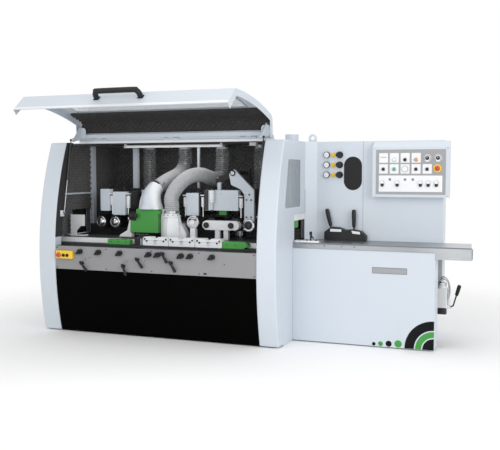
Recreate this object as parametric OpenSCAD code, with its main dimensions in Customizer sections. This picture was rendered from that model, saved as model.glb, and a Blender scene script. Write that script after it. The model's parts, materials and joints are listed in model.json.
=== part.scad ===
// Four sided moulder: a floor-standing planing and moulding machine with a tilting hood,
// horizontal and vertical cutter spindles, driven feed rollers and an infeed table.
// Millimetres, +X along the machine from outfeed to infeed, +Y to the rear, +Z up.
// The hood stands open, and its lift struts are long.

/* [Enclosure] */
// Length of the enclosure over its two end panels
enclosure_l = 2285; // [2270:1:2320]
// Width of the curved rim at each end
rim_w = 171; // [160:1:176]
// Height of the roof above the floor
roof_h = 1718; // [1705:1:1740]
// How far the rim's foremost line stands before the cabinet front
rim_front = 438; // [432:1:446]
// Radius of the curved rim
rim_r = 2700; // [2600:10:2900]
// Height of the rim's foremost line
rim_apex_z = 670; // [650:5:690]
// Depth of the rim behind its front skin
rim_depth = 110; // [100:1:118]
// Rear face behind the cabinet front
rear_y = 960; // [945:1:1000]
// Gap between the panels and the floor
floor_gap = 10; // [6:1:16]
// Thickness of the sheet metal
sheet_t = 4; // [3:0.5:5]
// Thickness of the foam lining
foam_t = 40; // [30:1:42]
// Height of the base plinth
plinth_h = 120; // [100:5:140]

/* [Hood] */
// How far the hinge line lies before the lower cabinet's front
hinge_fwd = 25; // [22:1:30]
// Height of the hinge line above the roof
hinge_rise = 30; // [28:1:36]
// Angle that the hood stands open from shut
hood_open = 86; // [80:1:88]
// How far the shut hood lies inside the rim's curve
hood_inset = 8; // [6:0.5:12]
// Gap between the hood and each rim
hood_gap = 6; // [4:0.5:8]
// Depth of the flange at each end of the hood
hood_flange = 55; // [45:1:56]
// Radius of the bend between the hood's roof and front
hood_corner_r = 60; // [58:1:70]
// Height of the crease above the hood's lip
crease_z = 950; // [940:1:970]
// How far the lip runs inwards
lip_in = 108; // [100:1:109]
// How far the lip runs down
lip_drop = 150; // [140:1:152]
// Height of the vision window's lower edge
window_z0 = 1150; // [1120:1:1180]
// Height of the vision window's upper edge
window_z1 = 1530; // [1500:1:1550]
// Distance of the vision window from each end of the hood
window_end = 150; // [120:1:200]
// Reach of the lift arm from the hinge to the strut
arm_reach = 165; // [150:1:175]
// Height of the strut's lower pivot
strut_z = 1080; // [1070:1:1095]
// Setback of the strut's lower pivot behind the rim's skin
strut_back = 91; // [91:1:94]
// Length of the bow handle on the lip
handle_l = 460; // [400:5:500]
// Distance of the handle's middle from the hood's left end
handle_x = 950; // [850:10:1050]

/* [Table] */
// Height of the table above the floor
table_h = 850; // [840:1:860]
// Thickness of the inner tables
table_t = 45; // [40:1:50]
// Thickness of the bed's top plate
bed_t = 40; // [35:1:45]
// How far the bed's front edge stands before the cabinet front
bed_front = 300; // [296:1:304]
// Fence line behind the cabinet front
fence_y = 340; // [338:1:344]
// Height of the fence
fence_h = 90; // [80:1:94]
// Thickness of the fence
fence_t = 40; // [30:1:42]
// Length of the infeed table
infeed_l = 1482; // [1460:1:1500]
// Thickness of the infeed table
infeed_t = 47; // [40:1:52]
// Depth of the beam under the infeed table's free end
overhang_h = 100; // [90:1:110]
// Height of the timber openings above the table
timber_h = 235; // [220:1:240]
// Width of the timber openings
timber_w = 301; // [290:1:305]

/* [Heads] */
// Radius of the cutter heads
head_r = 60; // [56:0.5:62]
// Length of the horizontal cutter heads
head_l = 220; // [200:1:224]
// Height of the vertical cutter heads
vertical_head_l = 120; // [100:1:125]
// Radius of the spindle shafts
spindle_r = 25; // [22:0.5:28]
// Clearance of a shaft in its bore
running_fit = 0.05; // [0.02:0.01:0.08]
// First bottom spindle from the left end
bottom_1_x = 2040; // [2030:1:2050]
// Right spindle from the left end
right_x = 1640; // [1630:1:1645]
// Left spindle from the left end
left_x = 1185; // [1180:1:1190]
// Top spindle from the left end
top_x = 866; // [860:1:872]
// Second bottom spindle from the left end
bottom_2_x = 640; // [635:1:650]
// Clear height under the feed rollers and the top head
stock_h = 68; // [62:1:70]
// Radius of the feed rollers
roller_r = 60; // [56:0.5:61]
// Length of the feed rollers
roller_l = 200; // [180:1:204]
// Teeth round a feed roller
roller_teeth = 30; // [20:1:40]
// Radius of the feed roller shafts
roller_shaft_r = 20; // [16:0.5:22]

/* [Extraction] */
// Outer radius of the hoses over their ribs
hose_r = 68; // [64:0.5:70]
// Depth of a hose's ribs
rib_h = 3; // [2:0.5:5]
// Wall of a hose under its ribs
hose_wall = 3; // [2:0.5:4]
// Setback of the row of drop hoses behind the cabinet front
hose_y = 650; // [640:1:660]
// First drop hose from the left end
hose_x = 553; // [545:1:560]
// Pitch of the drop hoses
hose_pitch = 398; // [394:1:402]
// Radius of the roof spigots
spigot_r = 62.5; // [60:0.5:66]
// Height of the roof spigots
spigot_h = 80; // [60:1:100]
// Outer radius of the duct elbow on the top head
elbow_r = 72; // [70:0.5:76]

/* [Infeed end] */
// Length of the lower infeed cabinet
infeed_cab_l = 1200; // [1180:1:1210]
// Depth of the lower infeed cabinet
infeed_cab_d = 168; // [150:1:180]
// Setback of the control cabinet behind the lower one
control_y = 406; // [400:1:412]
// Length of the control cabinet
control_l = 1200; // [1190:1:1212]
// Length of the control cabinet's shallow right end
shallow_l = 135; // [120:1:150]
// Depth of the control cabinet's shallow right end
shallow_d = 160; // [140:1:200]
// Length of the control cabinet's slanted corner along the machine
corner_l = 91; // [80:1:100]
// Width of the console
console_w = 645; // [630:1:660]
// Height of the console's face
console_h = 424; // [415:1:430]
// Depth of the console
console_d = 78; // [70:1:84]
// Height of the console's lower edge
console_z = 1236; // [1225:1:1245]
// Radius of the oval recess's ends
oval_r = 76; // [70:1:80]
// Straight length of the oval recess
oval_l = 133; // [120:1:150]
// Depth of the oval recess
oval_d = 60; // [40:1:80]

/* [Hidden] */
$fn = 48;

// Colours
panel_c = [0.80, 0.84, 0.87];
grey_c = [0.60, 0.60, 0.62];
black_c = [0.08, 0.08, 0.09];
white_c = [0.92, 0.93, 0.94];
steel_c = [0.72, 0.74, 0.76];
green_c = [0.24, 0.60, 0.24];
foam_c = [0.20, 0.18, 0.18];
hose_c = [0.68, 0.66, 0.62];
glass_c = [0.75, 0.85, 0.90, 0.4];
yellow_c = [0.96, 0.80, 0.16];
red_c = [0.80, 0.16, 0.12];

// Overall places
overall_l = enclosure_l + infeed_l;
origin_x = overall_l / 2;
origin_y = (rear_y - rim_front) / 2;
rim_cy = rim_r - rim_front;
right_rim_x = enclosure_l - rim_w;
bed_top = table_h - table_t;
infeed_end_x = enclosure_l + infeed_cab_l;
control_end_x = enclosure_l + control_l;
control_body_x = control_end_x - shallow_l;
seat_gap = 0.3;

// Hood geometry, in the shut position, as points of the Y-Z plane
// Depth of the rims' top edge before the cabinet front.
// The hinge line is laid out from it to a tenth of a millimetre
roof_run = 226.3;
hinge = [round(10 * (rim_y(roof_h) + roof_run - hinge_fwd)) / 10, roof_h + hinge_rise];
// How far the roof and the table stand above their usual heights; what hangs on them moves along
roof_lift = roof_h - 1718;
table_lift = table_h - 850;
crease_h = crease_z + roof_lift;
window_low = window_z0 + roof_lift;
window_high = window_z1 + roof_lift;
console_low = console_z + roof_lift;
strut_h = strut_z + table_lift;
knuckle_r = 10;
hinge_pin_r = 5;
hood_r = rim_r - hood_inset;
hood_top = hinge[1] + knuckle_r - 2;
corner_c = [rim_cy - sqrt(pow(hood_r - hood_corner_r, 2) - pow(hood_top - hood_corner_r - rim_apex_z, 2)),
    hood_top - hood_corner_r];
corner_a = atan2(corner_c[1] - rim_apex_z, corner_c[0] - rim_cy);
crease = [rim_y(crease_h, hood_inset), crease_h];
lip_dir = unit([lip_in, -lip_drop]);
lip_end = crease + [lip_in, -lip_drop];
lip_out = [lip_dir[1], -lip_dir[0]];
lip_tilt = atan2(lip_in, lip_drop);
hood_x0 = rim_w + hood_gap;
hood_x1 = right_rim_x - hood_gap;

// Lift struts, in the open position
strut_x = rim_w + 24;
strut_low = [rim_y(strut_h) + strut_back, strut_h];
strut_top = hinge + [-arm_reach, -6];
strut_len = norm(strut_top - strut_low);
strut_tilt = atan2(strut_top[0] - strut_low[0], strut_top[1] - strut_low[1]);
// Share of the strut's open length that the cylinder takes
strut_cylinder_l = 0.5565 * strut_len;
strut_cylinder_r = 11;
strut_rod_r = 5;
strut_eye_r = 9;
strut_eye_w = 18;
arm_t = 8;
arm_x = strut_x + strut_cylinder_r + seat_gap + 8;

// Heads and rollers
roller_z = table_h + stock_h + roller_r;
top_z = table_h + stock_h + head_r + 2;
bottom_z = table_h + 2 - head_r;
head_y0 = fence_y - 5 - head_l;
left_y = 130;
right_y = fence_y + 2 + head_r;
vertical_head_z = table_h + 12;
beam_y = 420;
beam_d = 100;
beam_z = table_h + 310;
beam_h = 130;
roller_y0 = 100;
roller_xs = [325, 478, 1479, 1716, 1843];
quill_w = 160;
pocket_w = 150;

// Front panel controls
panel_z0 = 580;
panel_z1 = 788;
panel_y = -rim_front + 12;
indicator_xs = [437, 628, 842, 1129, 1215, 1437, 1523, 1724];
indicator_z = 743;
// Clamp levers: place along the machine, height, and angle of the handle
clamps = [[457, 641, -50], [879, 632, -68], [1019, 694, -52], [1263, 752, -58], [1342, 678, -58]];
clamp_stud_r = 6;
clamp_stud_l = 20;
estop_box_x = 196;
estop_box_w = 172;
estop_box_z = 677;
estop_box_h = 70;
estop_box_d = 30;
estop_x = estop_box_x + 28;
estop_z = estop_box_z + 30;
stem_r = 8;
stem_l = 22;

// Infeed end
console_x = enclosure_l + 610;
console_y = control_y - console_d;
gauge_x = enclosure_l + 182;
regulator_x = enclosure_l + 299;
gauge_zs = [for (z = [1600, 1512, 1424]) z + roof_lift];
oval_x = enclosure_l + 418;
oval_z = 1437 + roof_lift;
knob_stud_r = 5;
knob_stud_l = 24;
lever_pin_r = 6;
lever_y = control_y - 38;
lever_slot_w = 18;
table_lever_at = [enclosure_l + 246, table_h + 62];
fence_lever_at = [enclosure_l + 442, table_h + 52];
console_estop_at = [enclosure_l + 1158, console_low + 244];
pump_x = enclosure_l + 1166;
pump_y = control_y - 106;
pump_pin_at = [enclosure_l + 1278, 316];
pump_pin_r = 6;

function unit(v) = v / norm(v);
function rim_y(z, d = 0) = rim_cy - sqrt(pow(rim_r - d, 2) - pow(z - rim_apex_z, 2));
function reversed(list) = [for (i = [len(list) - 1:-1:0]) list[i]];
function arc(c, r, a0, a1, n) =
    [for (i = [0:n]) c + r * [cos(a0 + (a1 - a0) * i / n), sin(a0 + (a1 - a0) * i / n)]];
// Points of the rim's curve at inset d, between two heights
function rim_curve(d, z0, z1, n = 24) = [for (i = [0:n]) let (z = z0 + (z1 - z0) * i / n) [rim_y(z, d), z]];

// Outline with each corner of pts rounded to radius r
function corner_points(a, b, c, r, n) =
    let (u = unit(a - b), w = unit(c - b), half = acos(u * w) / 2, m = unit(u + w),
        mid = b + m * r / sin(half), p = b + u * r / tan(half), q = b + w * r / tan(half),
        a0 = atan2(p[1] - mid[1], p[0] - mid[0]), a1 = atan2(q[1] - mid[1], q[0] - mid[0]),
        sweep = (a1 - a0 + 540) % 360 - 180)
    arc(mid, r, a0, a0 + sweep, n);
function rounded(pts, r, n = 5) = [for (i = [0:len(pts) - 1])
    each corner_points(pts[(i + len(pts) - 1) % len(pts)], pts[i], pts[(i + 1) % len(pts)], r, n)];

// Shut hood outline at depth d inside its outer skin: roof, bend, curved front, crease and lip
function crease_at(d) =
    let (n1 = unit([rim_cy, rim_apex_z] - crease), n2 = -lip_out, m = unit(n1 + n2))
    crease + m * d / (m * n1);
function hood_path(d) =
    let (c = crease_at(d), a_end = atan2(c[1] - rim_apex_z, c[0] - rim_cy), n = 20)
    concat([[hinge[0] + 4, hood_top - d]],
        arc(corner_c, hood_corner_r - d, 90, corner_a, 6),
        [for (i = [1:n - 1]) let (a = corner_a + (a_end - corner_a) * i / n)
            [rim_cy, rim_apex_z] + (hood_r - d) * [cos(a), sin(a)]],
        [c, lip_end - lip_out * d]);
function hood_front(d, z0, z1, n = 12) = [for (i = [0:n])
    let (z = z0 + (z1 - z0) * i / n) [rim_y(z, hood_inset + d), z]];
// Open-position point turned about the hinge into the shut position
function shut(p) = hinge + [[cos(hood_open), -sin(hood_open)],
    [sin(hood_open), cos(hood_open)]] * (p - hinge);

module placed() { translate([-origin_x, -origin_y, 0]) children(); }
module box(low, high) { translate(low) cube(high - low); }
module yz_plate(x0, x1) { translate([x0, 0, 0]) rotate([90, 0, 90]) linear_extrude(x1 - x0) children(); }
module xz_plate(y0, y1) { translate([0, y1, 0]) rotate([90, 0, 0]) linear_extrude(y1 - y0) children(); }
module rod_x(x0, x1, y, z, r) { translate([x0, y, z]) rotate([0, 90, 0]) cylinder(h = x1 - x0, r = r); }
module rod_y(y0, y1, x, z, r) { translate([x, y0, z]) rotate([-90, 0, 0]) cylinder(h = y1 - y0, r = r); }
module rod_z(z0, z1, x, y, r) { translate([x, y, z0]) cylinder(h = z1 - z0, r = r); }
module both_ends() {
    children();
    translate([enclosure_l, 0, 0]) mirror([1, 0, 0]) children();
}
module hood_pose() {
    translate([0, hinge[0], hinge[1]]) rotate([-hood_open, 0, 0]) translate([0, -hinge[0], -hinge[1]])
        children();
}

// Base: closed plinth in two bolted lengths, with floor anchor tabs behind
module base_frame() {
    tab_d = 60;
    tab_w = 120;
    tab_t = 15;
    anchor_r = 9;
    color(panel_c) placed() {
        difference() {
            union() {
                box([sheet_t, rim_y(floor_gap) + rim_depth + 10, 0],
                    [enclosure_l - sheet_t, rear_y - sheet_t, plinth_h]);
                box([200, rear_y - sheet_t - 1, 0], [200 + tab_w, rear_y + tab_d, tab_t]);
            }
            rod_z(-1, tab_t + 1, 200 + tab_w / 2, rear_y + tab_d / 2, anchor_r);
        }
        difference() {
            union() {
                box([enclosure_l, infeed_cab_d, 0], [control_body_x, rear_y, plinth_h]);
                box([control_end_x - 301, rear_y - 1, 0],
                    [control_end_x - 301 + tab_w, rear_y + tab_d, tab_t]);
            }
            rod_z(-1, tab_t + 1, control_end_x - 301 + tab_w / 2, rear_y + tab_d / 2, anchor_r);
        }
    }
}

// Bed casting: top plate on two walls, bearing bosses for the bottom and vertical spindles
module machine_bed() {
    wall = 30;
    front_wall_y = rim_y(floor_gap) + rim_depth + 20;
    rear_wall_y = 500;
    x0 = 60;
    x1 = enclosure_l - 60;
    boss_r = 60;
    color(grey_c) placed() difference() {
        union() {
            box([x0, -bed_front, bed_top - bed_t], [x1, rear_wall_y + wall, bed_top]);
            box([x0, front_wall_y, plinth_h], [x1, front_wall_y + wall, bed_top - bed_t]);
            box([x0, rear_wall_y, plinth_h], [x1, rear_wall_y + wall, bed_top - bed_t]);
            for (x = [bottom_1_x, bottom_2_x])
                box([x - boss_r, beam_y + 10, bottom_z - boss_r],
                    [x + boss_r, rear_wall_y + wall, bottom_z + boss_r]);
            rod_z(bed_top - 140, bed_top, left_x, left_y, boss_r);
            rod_z(bed_top - 140, bed_top, right_x, right_y, boss_r);
        }
        for (x = [bottom_1_x, bottom_2_x]) {
            box([x - pocket_w / 2, head_y0 - 15, bed_top - bed_t - 1],
                [x + pocket_w / 2, beam_y, bed_top + 1]);
            rod_y(beam_y - 20, rear_wall_y + wall + 1, x, bottom_z, spindle_r + running_fit);
        }
        rod_z(bed_top - 141, bed_top + 1, left_x, left_y, spindle_r + running_fit);
        rod_z(bed_top - 141, bed_top + 1, right_x, right_y, spindle_r + running_fit);
    }
}

// Machined table plates on the bed, with the side pressure shoes and the outfeed guard
module bed_tables() {
    y0 = -200;
    y1 = fence_y + fence_t + 20;
    joint = 1;
    edges = [foam_t + 10, 715, 1400, enclosure_l - foam_t - 10];
    head_hole_r = 42;
    color(white_c) placed() {
        difference() {
            union() {
                for (i = [0:2]) box([edges[i] + joint / 2, y0, bed_top],
                    [edges[i + 1] - joint / 2, y1, table_h]);
            }
            for (x = [bottom_1_x, bottom_2_x])
                box([x - pocket_w / 2, head_y0 - 15, bed_top - 1],
                    [x + pocket_w / 2, fence_y - 1, table_h + 1]);
            for (x = [bottom_1_x, bottom_2_x])
                box([x - spindle_r - 8, fence_y - 2, bed_top - 1],
                    [x + spindle_r + 8, y1 + 1, table_h + 1]);
            for (x = [bottom_1_x, bottom_2_x])
                box([x - 62, beam_y - 25, bed_top - 1], [x + 62, y1 + 1, table_h + 1]);
            rod_z(bed_top - 1, table_h + 1, left_x, left_y, head_hole_r);
            rod_z(bed_top - 1, table_h + 1, right_x, right_y, head_hole_r);
        }
        pressure_shoes();
        outfeed_guard();
    }
}

// Side pressure shoes standing on the bed's front rail
module pressure_shoes() {
    y0 = -280;
    y1 = -206;
    z0 = bed_top;
    shoe = [[0, 0], [250, 0], [250, 52], [236, 76], [150, 76], [138, 62], [96, 62], [84, 76],
        [14, 76], [0, 60]];
    for (x = [985, 1240, 1495]) difference() {
        translate([x, 0, z0]) xz_plate(y0, y1) polygon(rounded(shoe, 5, 3));
        translate([x + 105, 0, z0]) xz_plate(y0 - 1, y0 + 30)
            polygon(rounded([[0, 10], [40, 10], [40, 50], [0, 50]], 8));
        for (s = [40, 205]) rod_y(y0 - 1, y0 + 18, x + s, z0 + 40, 9);
    }
    box([905, y0, z0], [960, y1, z0 + 60]);
}

// Ribbed guard plate beside the outfeed, with its notched foot
module outfeed_guard() {
    y0 = -90;
    t = 18;
    h = 200;
    w = 150;
    rib = 20;
    waves = [for (i = [0:10]) [i % 2 == 0 ? 0 : 7, h - i * rib]];
    translate([foam_t + 66, 0, table_h]) {
        xz_plate(y0, y0 + t) polygon(concat([[w, 95], [w, h]], waves, [[60, 0], [60, 45], [110, 95]]));
        box([0, y0, 0], [w, y0 + 70, 12]);
    }
}

// Fence behind the timber, in two lengths with a gap for the right head
module fence_rail() {
    gap = head_r + 20;
    color(grey_c) placed() difference() {
        union() {
            box([foam_t + 10.5, fence_y, table_h], [right_x - gap, fence_y + fence_t, table_h + fence_h]);
            box([right_x + gap, fence_y, table_h],
                [enclosure_l - foam_t - 10.5, fence_y + fence_t, table_h + fence_h]);
        }
        for (x = [300, 1050, 1500, 1900]) rod_y(fence_y - 1, fence_y + 12, x, table_h + fence_h / 2, 8);
    }
}

// Curved outline of an end panel
module end_outline() {
    polygon(concat(rim_curve(0, floor_gap, roof_h), [[rear_y, roof_h], [rear_y, floor_gap]]));
}
// One end panel: flat side sheet, curved front rim with its return, top, and the strut bracket
module end_panel_body() {
    eye_gap = 0.5;
    boss_r = 14;
    pin_r = 5;
    yz_plate(0, sheet_t) end_outline();
    yz_plate(0, rim_w) polygon(concat(rim_curve(0, floor_gap, roof_h),
        reversed(rim_curve(sheet_t, floor_gap, roof_h))));
    yz_plate(rim_w - sheet_t, rim_w)
        polygon(concat(rim_curve(0, floor_gap, roof_h), reversed(rim_curve(rim_depth, floor_gap, roof_h))));
    box([0, rim_y(roof_h) + 1, roof_h - sheet_t], [rim_w, hinge[0] + 5, roof_h]);
    rod_x(rim_w - 1, strut_x - strut_eye_w / 2 - eye_gap, strut_low[0], strut_low[1], boss_r);
    rod_x(rim_w, strut_x + strut_eye_w / 2 + 5, strut_low[0], strut_low[1], pin_r);
    rod_x(strut_x + strut_eye_w / 2 + eye_gap, strut_x + strut_eye_w / 2 + 5, strut_low[0],
        strut_low[1], pin_r + 3);
}
module timber_opening(x0, x1, margin = 0) {
    box([x0, fence_y - 4 - timber_w - margin, table_h - margin],
        [x1, fence_y - 4 + margin, table_h + timber_h + margin]);
}
// Trapezoid window in the right end, leaning with the rim
module window_outline(margin = 0) {
    z0 = 1149 + roof_lift;
    z1 = 1556 + roof_lift;
    y1 = 205;
    polygon(rounded([[rim_y(z0) + 184.2 - margin, z0 - margin], [y1 + margin, z0 - margin],
        [y1 + margin, z1 + margin], [rim_y(z1) + 163.5 - margin, z1 + margin]], 24));
}
module left_end_panel() {
    color(panel_c) placed() difference() {
        end_panel_body();
        timber_opening(-1, sheet_t + 1);
    }
}
module right_end_panel() {
    color(panel_c) placed() difference() {
        translate([enclosure_l, 0, 0]) mirror([1, 0, 0]) end_panel_body();
        timber_opening(enclosure_l - sheet_t - 1, enclosure_l + 1);
        yz_plate(enclosure_l - sheet_t - 1, enclosure_l + 1) window_outline();
    }
}
// Pane behind the right end's window
module side_window() {
    color(glass_c) placed() yz_plate(enclosure_l - 2 * sheet_t - seat_gap,
        enclosure_l - sheet_t - seat_gap) window_outline(18);
}

// Roof and rear sheet, front beam with hinge knuckles, and the extraction spigots
hose_count = 4;
spigot_wall = 4.5;
collar_r = (hose_r - rib_h - hose_wall) * cos(22.5) - 0.5;
collar_h = 40;
last_spigot = [2057, hose_y];
knuckle_w = 50;
knuckle_gap = 0.5;
hinge_xs = [rim_w + 229, enclosure_l / 2, right_rim_x - 229];
module spigot(x, y) {
    rod_z(roof_h - 1, roof_h + spigot_h, x, y, spigot_r);
    rod_z(roof_h - sheet_t - collar_h, roof_h, x, y, collar_r);
}
module enclosure_shell() {
    color(panel_c) placed() difference() {
        union() {
            box([sheet_t, hinge[0] + 5, roof_h - sheet_t], [enclosure_l - sheet_t, rear_y, roof_h]);
            box([sheet_t, rear_y - sheet_t, plinth_h], [enclosure_l - sheet_t, rear_y, roof_h]);
            box([rim_w, hinge[0] + 5, roof_h - sheet_t],
                [right_rim_x, hinge[0] + 45, roof_h + hinge_rise - knuckle_r]);
            for (i = [0:hose_count - 1]) spigot(hose_x + i * hose_pitch, hose_y);
            spigot(last_spigot[0], last_spigot[1]);
            for (x = hinge_xs) hinge_leaf(x);
        }
        for (i = [0:hose_count - 1])
            rod_z(roof_h - sheet_t - collar_h - 1, roof_h + spigot_h + 1, hose_x + i * hose_pitch, hose_y,
                collar_r - spigot_wall);
        rod_z(roof_h - sheet_t - collar_h - 1, roof_h + spigot_h + 1, last_spigot[0], last_spigot[1],
            collar_r - spigot_wall);
    }
}
// Two fixed knuckles and the pin that runs through the hood's knuckle between them
module hinge_leaf(x) {
    for (s = [-1, 1]) {
        x0 = s < 0 ? x - 1.5 * knuckle_w : x + knuckle_w / 2;
        rod_x(x0, x0 + knuckle_w, hinge[0], hinge[1], knuckle_r);
        box([x0, hinge[0] - 2, hinge[1] - knuckle_r - 2],
            [x0 + knuckle_w, hinge[0] + knuckle_r + 2, hinge[1] - 4]);
    }
    rod_x(x - 1.5 * knuckle_w, x + 1.5 * knuckle_w, hinge[0], hinge[1], hinge_pin_r);
}

// Foam slabs on the rear and on both end walls
module sound_lining() {
    z0 = table_h + 10;
    z1 = roof_h - sheet_t - 10;
    y1 = rear_y - sheet_t - foam_t - 10;
    front = [for (i = [0:8]) let (z = z0 + (z1 - z0) * i / 8) [rim_y(z) + rim_depth + 12, z]];
    color(foam_c) placed() {
        box([sheet_t + foam_t + 5, rear_y - sheet_t - foam_t, z0 - 40],
            [enclosure_l - sheet_t - foam_t - 5, rear_y - sheet_t, z1]);
        difference() {
            yz_plate(sheet_t, foam_t) polygon(concat(front, [[y1, z1], [y1, z0]]));
            timber_opening(0, foam_t + 1, 8);
        }
        difference() {
            yz_plate(enclosure_l - foam_t, enclosure_l - sheet_t)
                polygon(concat(front, [[y1, z1], [y1, z0]]));
            timber_opening(enclosure_l - foam_t - 1, enclosure_l, 8);
            yz_plate(enclosure_l - foam_t - 1, enclosure_l) window_outline(30);
        }
    }
}

// Lower front panel, curved like the rims
module lower_front_panel() {
    inset = 12;
    color(black_c) placed() yz_plate(rim_w, right_rim_x)
        polygon(concat(rim_curve(inset, floor_gap, panel_z0, 12),
            reversed(rim_curve(inset + sheet_t, floor_gap, panel_z0, 12))));
}

// Adjuster panel with its ledge, the clamp studs, square shaft ends and the e-stop recess
module adjuster_panel() {
    t = 6;
    color(grey_c) placed() {
        difference() {
            union() {
                box([rim_w, panel_y, panel_z0], [right_rim_x, panel_y + t, panel_z1]);
                box([rim_w, panel_y, panel_z1 - t], [right_rim_x, -bed_front, panel_z1]);
                for (c = clamps) rod_y(panel_y - clamp_stud_l, panel_y + 1, c[0], c[1], clamp_stud_r);
                for (p = [[481, 677], [903, 676]])
                    box([p[0] - 7, panel_y - 14, p[1] - 7], [p[0] + 7, panel_y + 1, p[1] + 7]);
            }
            for (p = [[530, 689], [1084, 685], [1830, 686]])
                rod_y(panel_y - 1, panel_y + t + 1, p[0], p[1], 5);
            box([1640, panel_y - 1, 592], [1668, panel_y + t + 1, 606]);
        }
    }
}

// Lower infeed cabinet: front cover folded at its ends, open behind
module infeed_cabinet() {
    z1 = table_h - infeed_t;
    color(panel_c) placed() difference() {
        box([enclosure_l, 0, floor_gap], [infeed_end_x, infeed_cab_d, z1]);
        box([enclosure_l + sheet_t, sheet_t, floor_gap + sheet_t],
            [infeed_end_x - sheet_t, infeed_cab_d + 1, z1 - sheet_t]);
    }
}

// Control cabinet with slanted corner, oval recess and lifting eye
module stadium(r, l) {
    polygon(concat(arc([0, l / 2], r, 0, 180, 16), arc([0, -l / 2], r, 180, 360, 16)));
}
module control_outline(inset) {
    k = inset * tan(45 - atan2(corner_l, control_y - fence_y) / 2);
    polygon([[enclosure_l + inset, fence_y + inset], [enclosure_l + corner_l + k, control_y + inset],
        [control_end_x - inset, control_y + inset], [control_end_x - inset, control_y + shallow_d - inset],
        [control_body_x - inset, control_y + shallow_d - inset], [control_body_x - inset, rear_y - inset],
        [enclosure_l + inset, rear_y - inset]]);
}
module control_cabinet() {
    eye_x = enclosure_l + 42;
    eye_y = control_y + 14;
    eye_t = 16;
    eye_r = 36;
    eye_bore_r = 18;
    eye_z = roof_h + 33;
    shallow_z = 250;
    color(panel_c) placed() {
        difference() {
            union() {
                difference() {
                    translate([0, 0, plinth_h]) linear_extrude(roof_h - plinth_h) control_outline(0);
                    translate([0, 0, plinth_h - 1]) linear_extrude(roof_h - plinth_h - sheet_t + 1)
                        control_outline(sheet_t);
                }
                translate([oval_x, 0, oval_z]) xz_plate(control_y + 1, control_y + oval_d + sheet_t)
                    stadium(oval_r + sheet_t, oval_l);
            }
            translate([oval_x, 0, oval_z]) xz_plate(control_y - 1, control_y + oval_d)
                stadium(oval_r, oval_l);
            box([control_body_x, control_y - 1, plinth_h - 1],
                [control_end_x + 1, control_y + shallow_d + 1, shallow_z]);
        }
        box([control_body_x - sheet_t, control_y + sheet_t - 1, plinth_h],
            [control_body_x, control_y + shallow_d - sheet_t + 1, shallow_z + 20]);
        difference() {
            union() {
                box([eye_x - eye_r, eye_y, roof_h], [eye_x + eye_r, eye_y + eye_t, eye_z]);
                rod_y(eye_y, eye_y + eye_t, eye_x, eye_z, eye_r);
            }
            rod_y(eye_y - 1, eye_y + eye_t + 1, eye_x, eye_z, eye_bore_r);
        }
    }
}

// Operator console: framed face under a sloping top, with the recessed face plate
module console_box() {
    frame = 28;
    recess = 3;
    z1 = console_low + console_h;
    color(panel_c) placed() difference() {
        yz_plate(console_x, console_x + console_w)
            polygon([[control_y, console_low], [console_y, console_low], [console_y, z1],
                [control_y, roof_h - 6]]);
        box([console_x + frame, console_y - 1, console_low + frame - 6],
            [console_x + console_w - frame, console_y + recess, z1 - frame + 8]);
        rod_y(console_y, console_y + recess + stem_l + 4, console_estop_at[0], console_estop_at[1],
            stem_r + running_fit);
    }
}

// Infeed table with its low guide bracket
module infeed_table() {
    front = -4;
    z0 = table_h - infeed_t;
    end_skew = 45;
    color(steel_c) placed() {
        difference() {
            union() {
                translate([0, 0, z0]) linear_extrude(infeed_t)
                    polygon([[enclosure_l, front], [overall_l, front],
                        [overall_l - end_skew, control_y], [enclosure_l + corner_l, control_y],
                        [enclosure_l, fence_y]]);
                box([infeed_end_x, front, table_h - overhang_h], [overall_l, front + 90, z0 + 1]);
                box([infeed_end_x + 30, control_y - 90, table_h - overhang_h],
                    [overall_l - end_skew, control_y, z0 + 1]);
            }
            for (x = [enclosure_l + 165, enclosure_l + 430])
                rod_y(front - 1, front + 12, x, table_h - 22, 6);
            box([enclosure_l + 60, front - 1, table_h - 10], [overall_l + 1, front + 8, table_h + 1]);
        }
        guide_bracket();
    }
}
module guide_bracket() {
    outline = [[0, 0], [200, 0], [214, 18], [190, 46], [120, 60], [30, 52], [0, 30]];
    translate([enclosure_l + 13, 10, table_h]) {
        linear_extrude(16) polygon(rounded(outline, 8));
        for (p = [[34, 24], [100, 26], [184, 22]]) rod_z(15, 24, p[0], p[1], 8);
        rod_z(15, 60, 134, 30, 7);
        rod_z(59, 92, 134, 30, 11);
    }
}

// Lever quadrant: black housing with two slots for the infeed levers
module lever_quadrant() {
    y0 = control_y - 76;
    y1 = control_y - 1;
    x0 = enclosure_l + 181;
    outline = [[0, 0], [370, 0], [372, 42], [330, 82], [250, 98], [190, 90], [130, 112], [60, 116],
        [0, 70]];
    color(black_c) placed() difference() {
        translate([x0, 0, table_h]) xz_plate(y0, y1) polygon(rounded(outline, 14));
        for (at = [table_lever_at, fence_lever_at])
            difference() {
                box([at[0] - 66, lever_y - lever_slot_w / 2, at[1] - 34],
                    [at[0] + 66, lever_y + lever_slot_w / 2, table_h + 200]);
                rod_y(lever_y - lever_slot_w / 2 - 1, lever_y + lever_slot_w / 2 + 1, at[0], at[1],
                    lever_pin_r);
            }
    }
}
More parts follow.
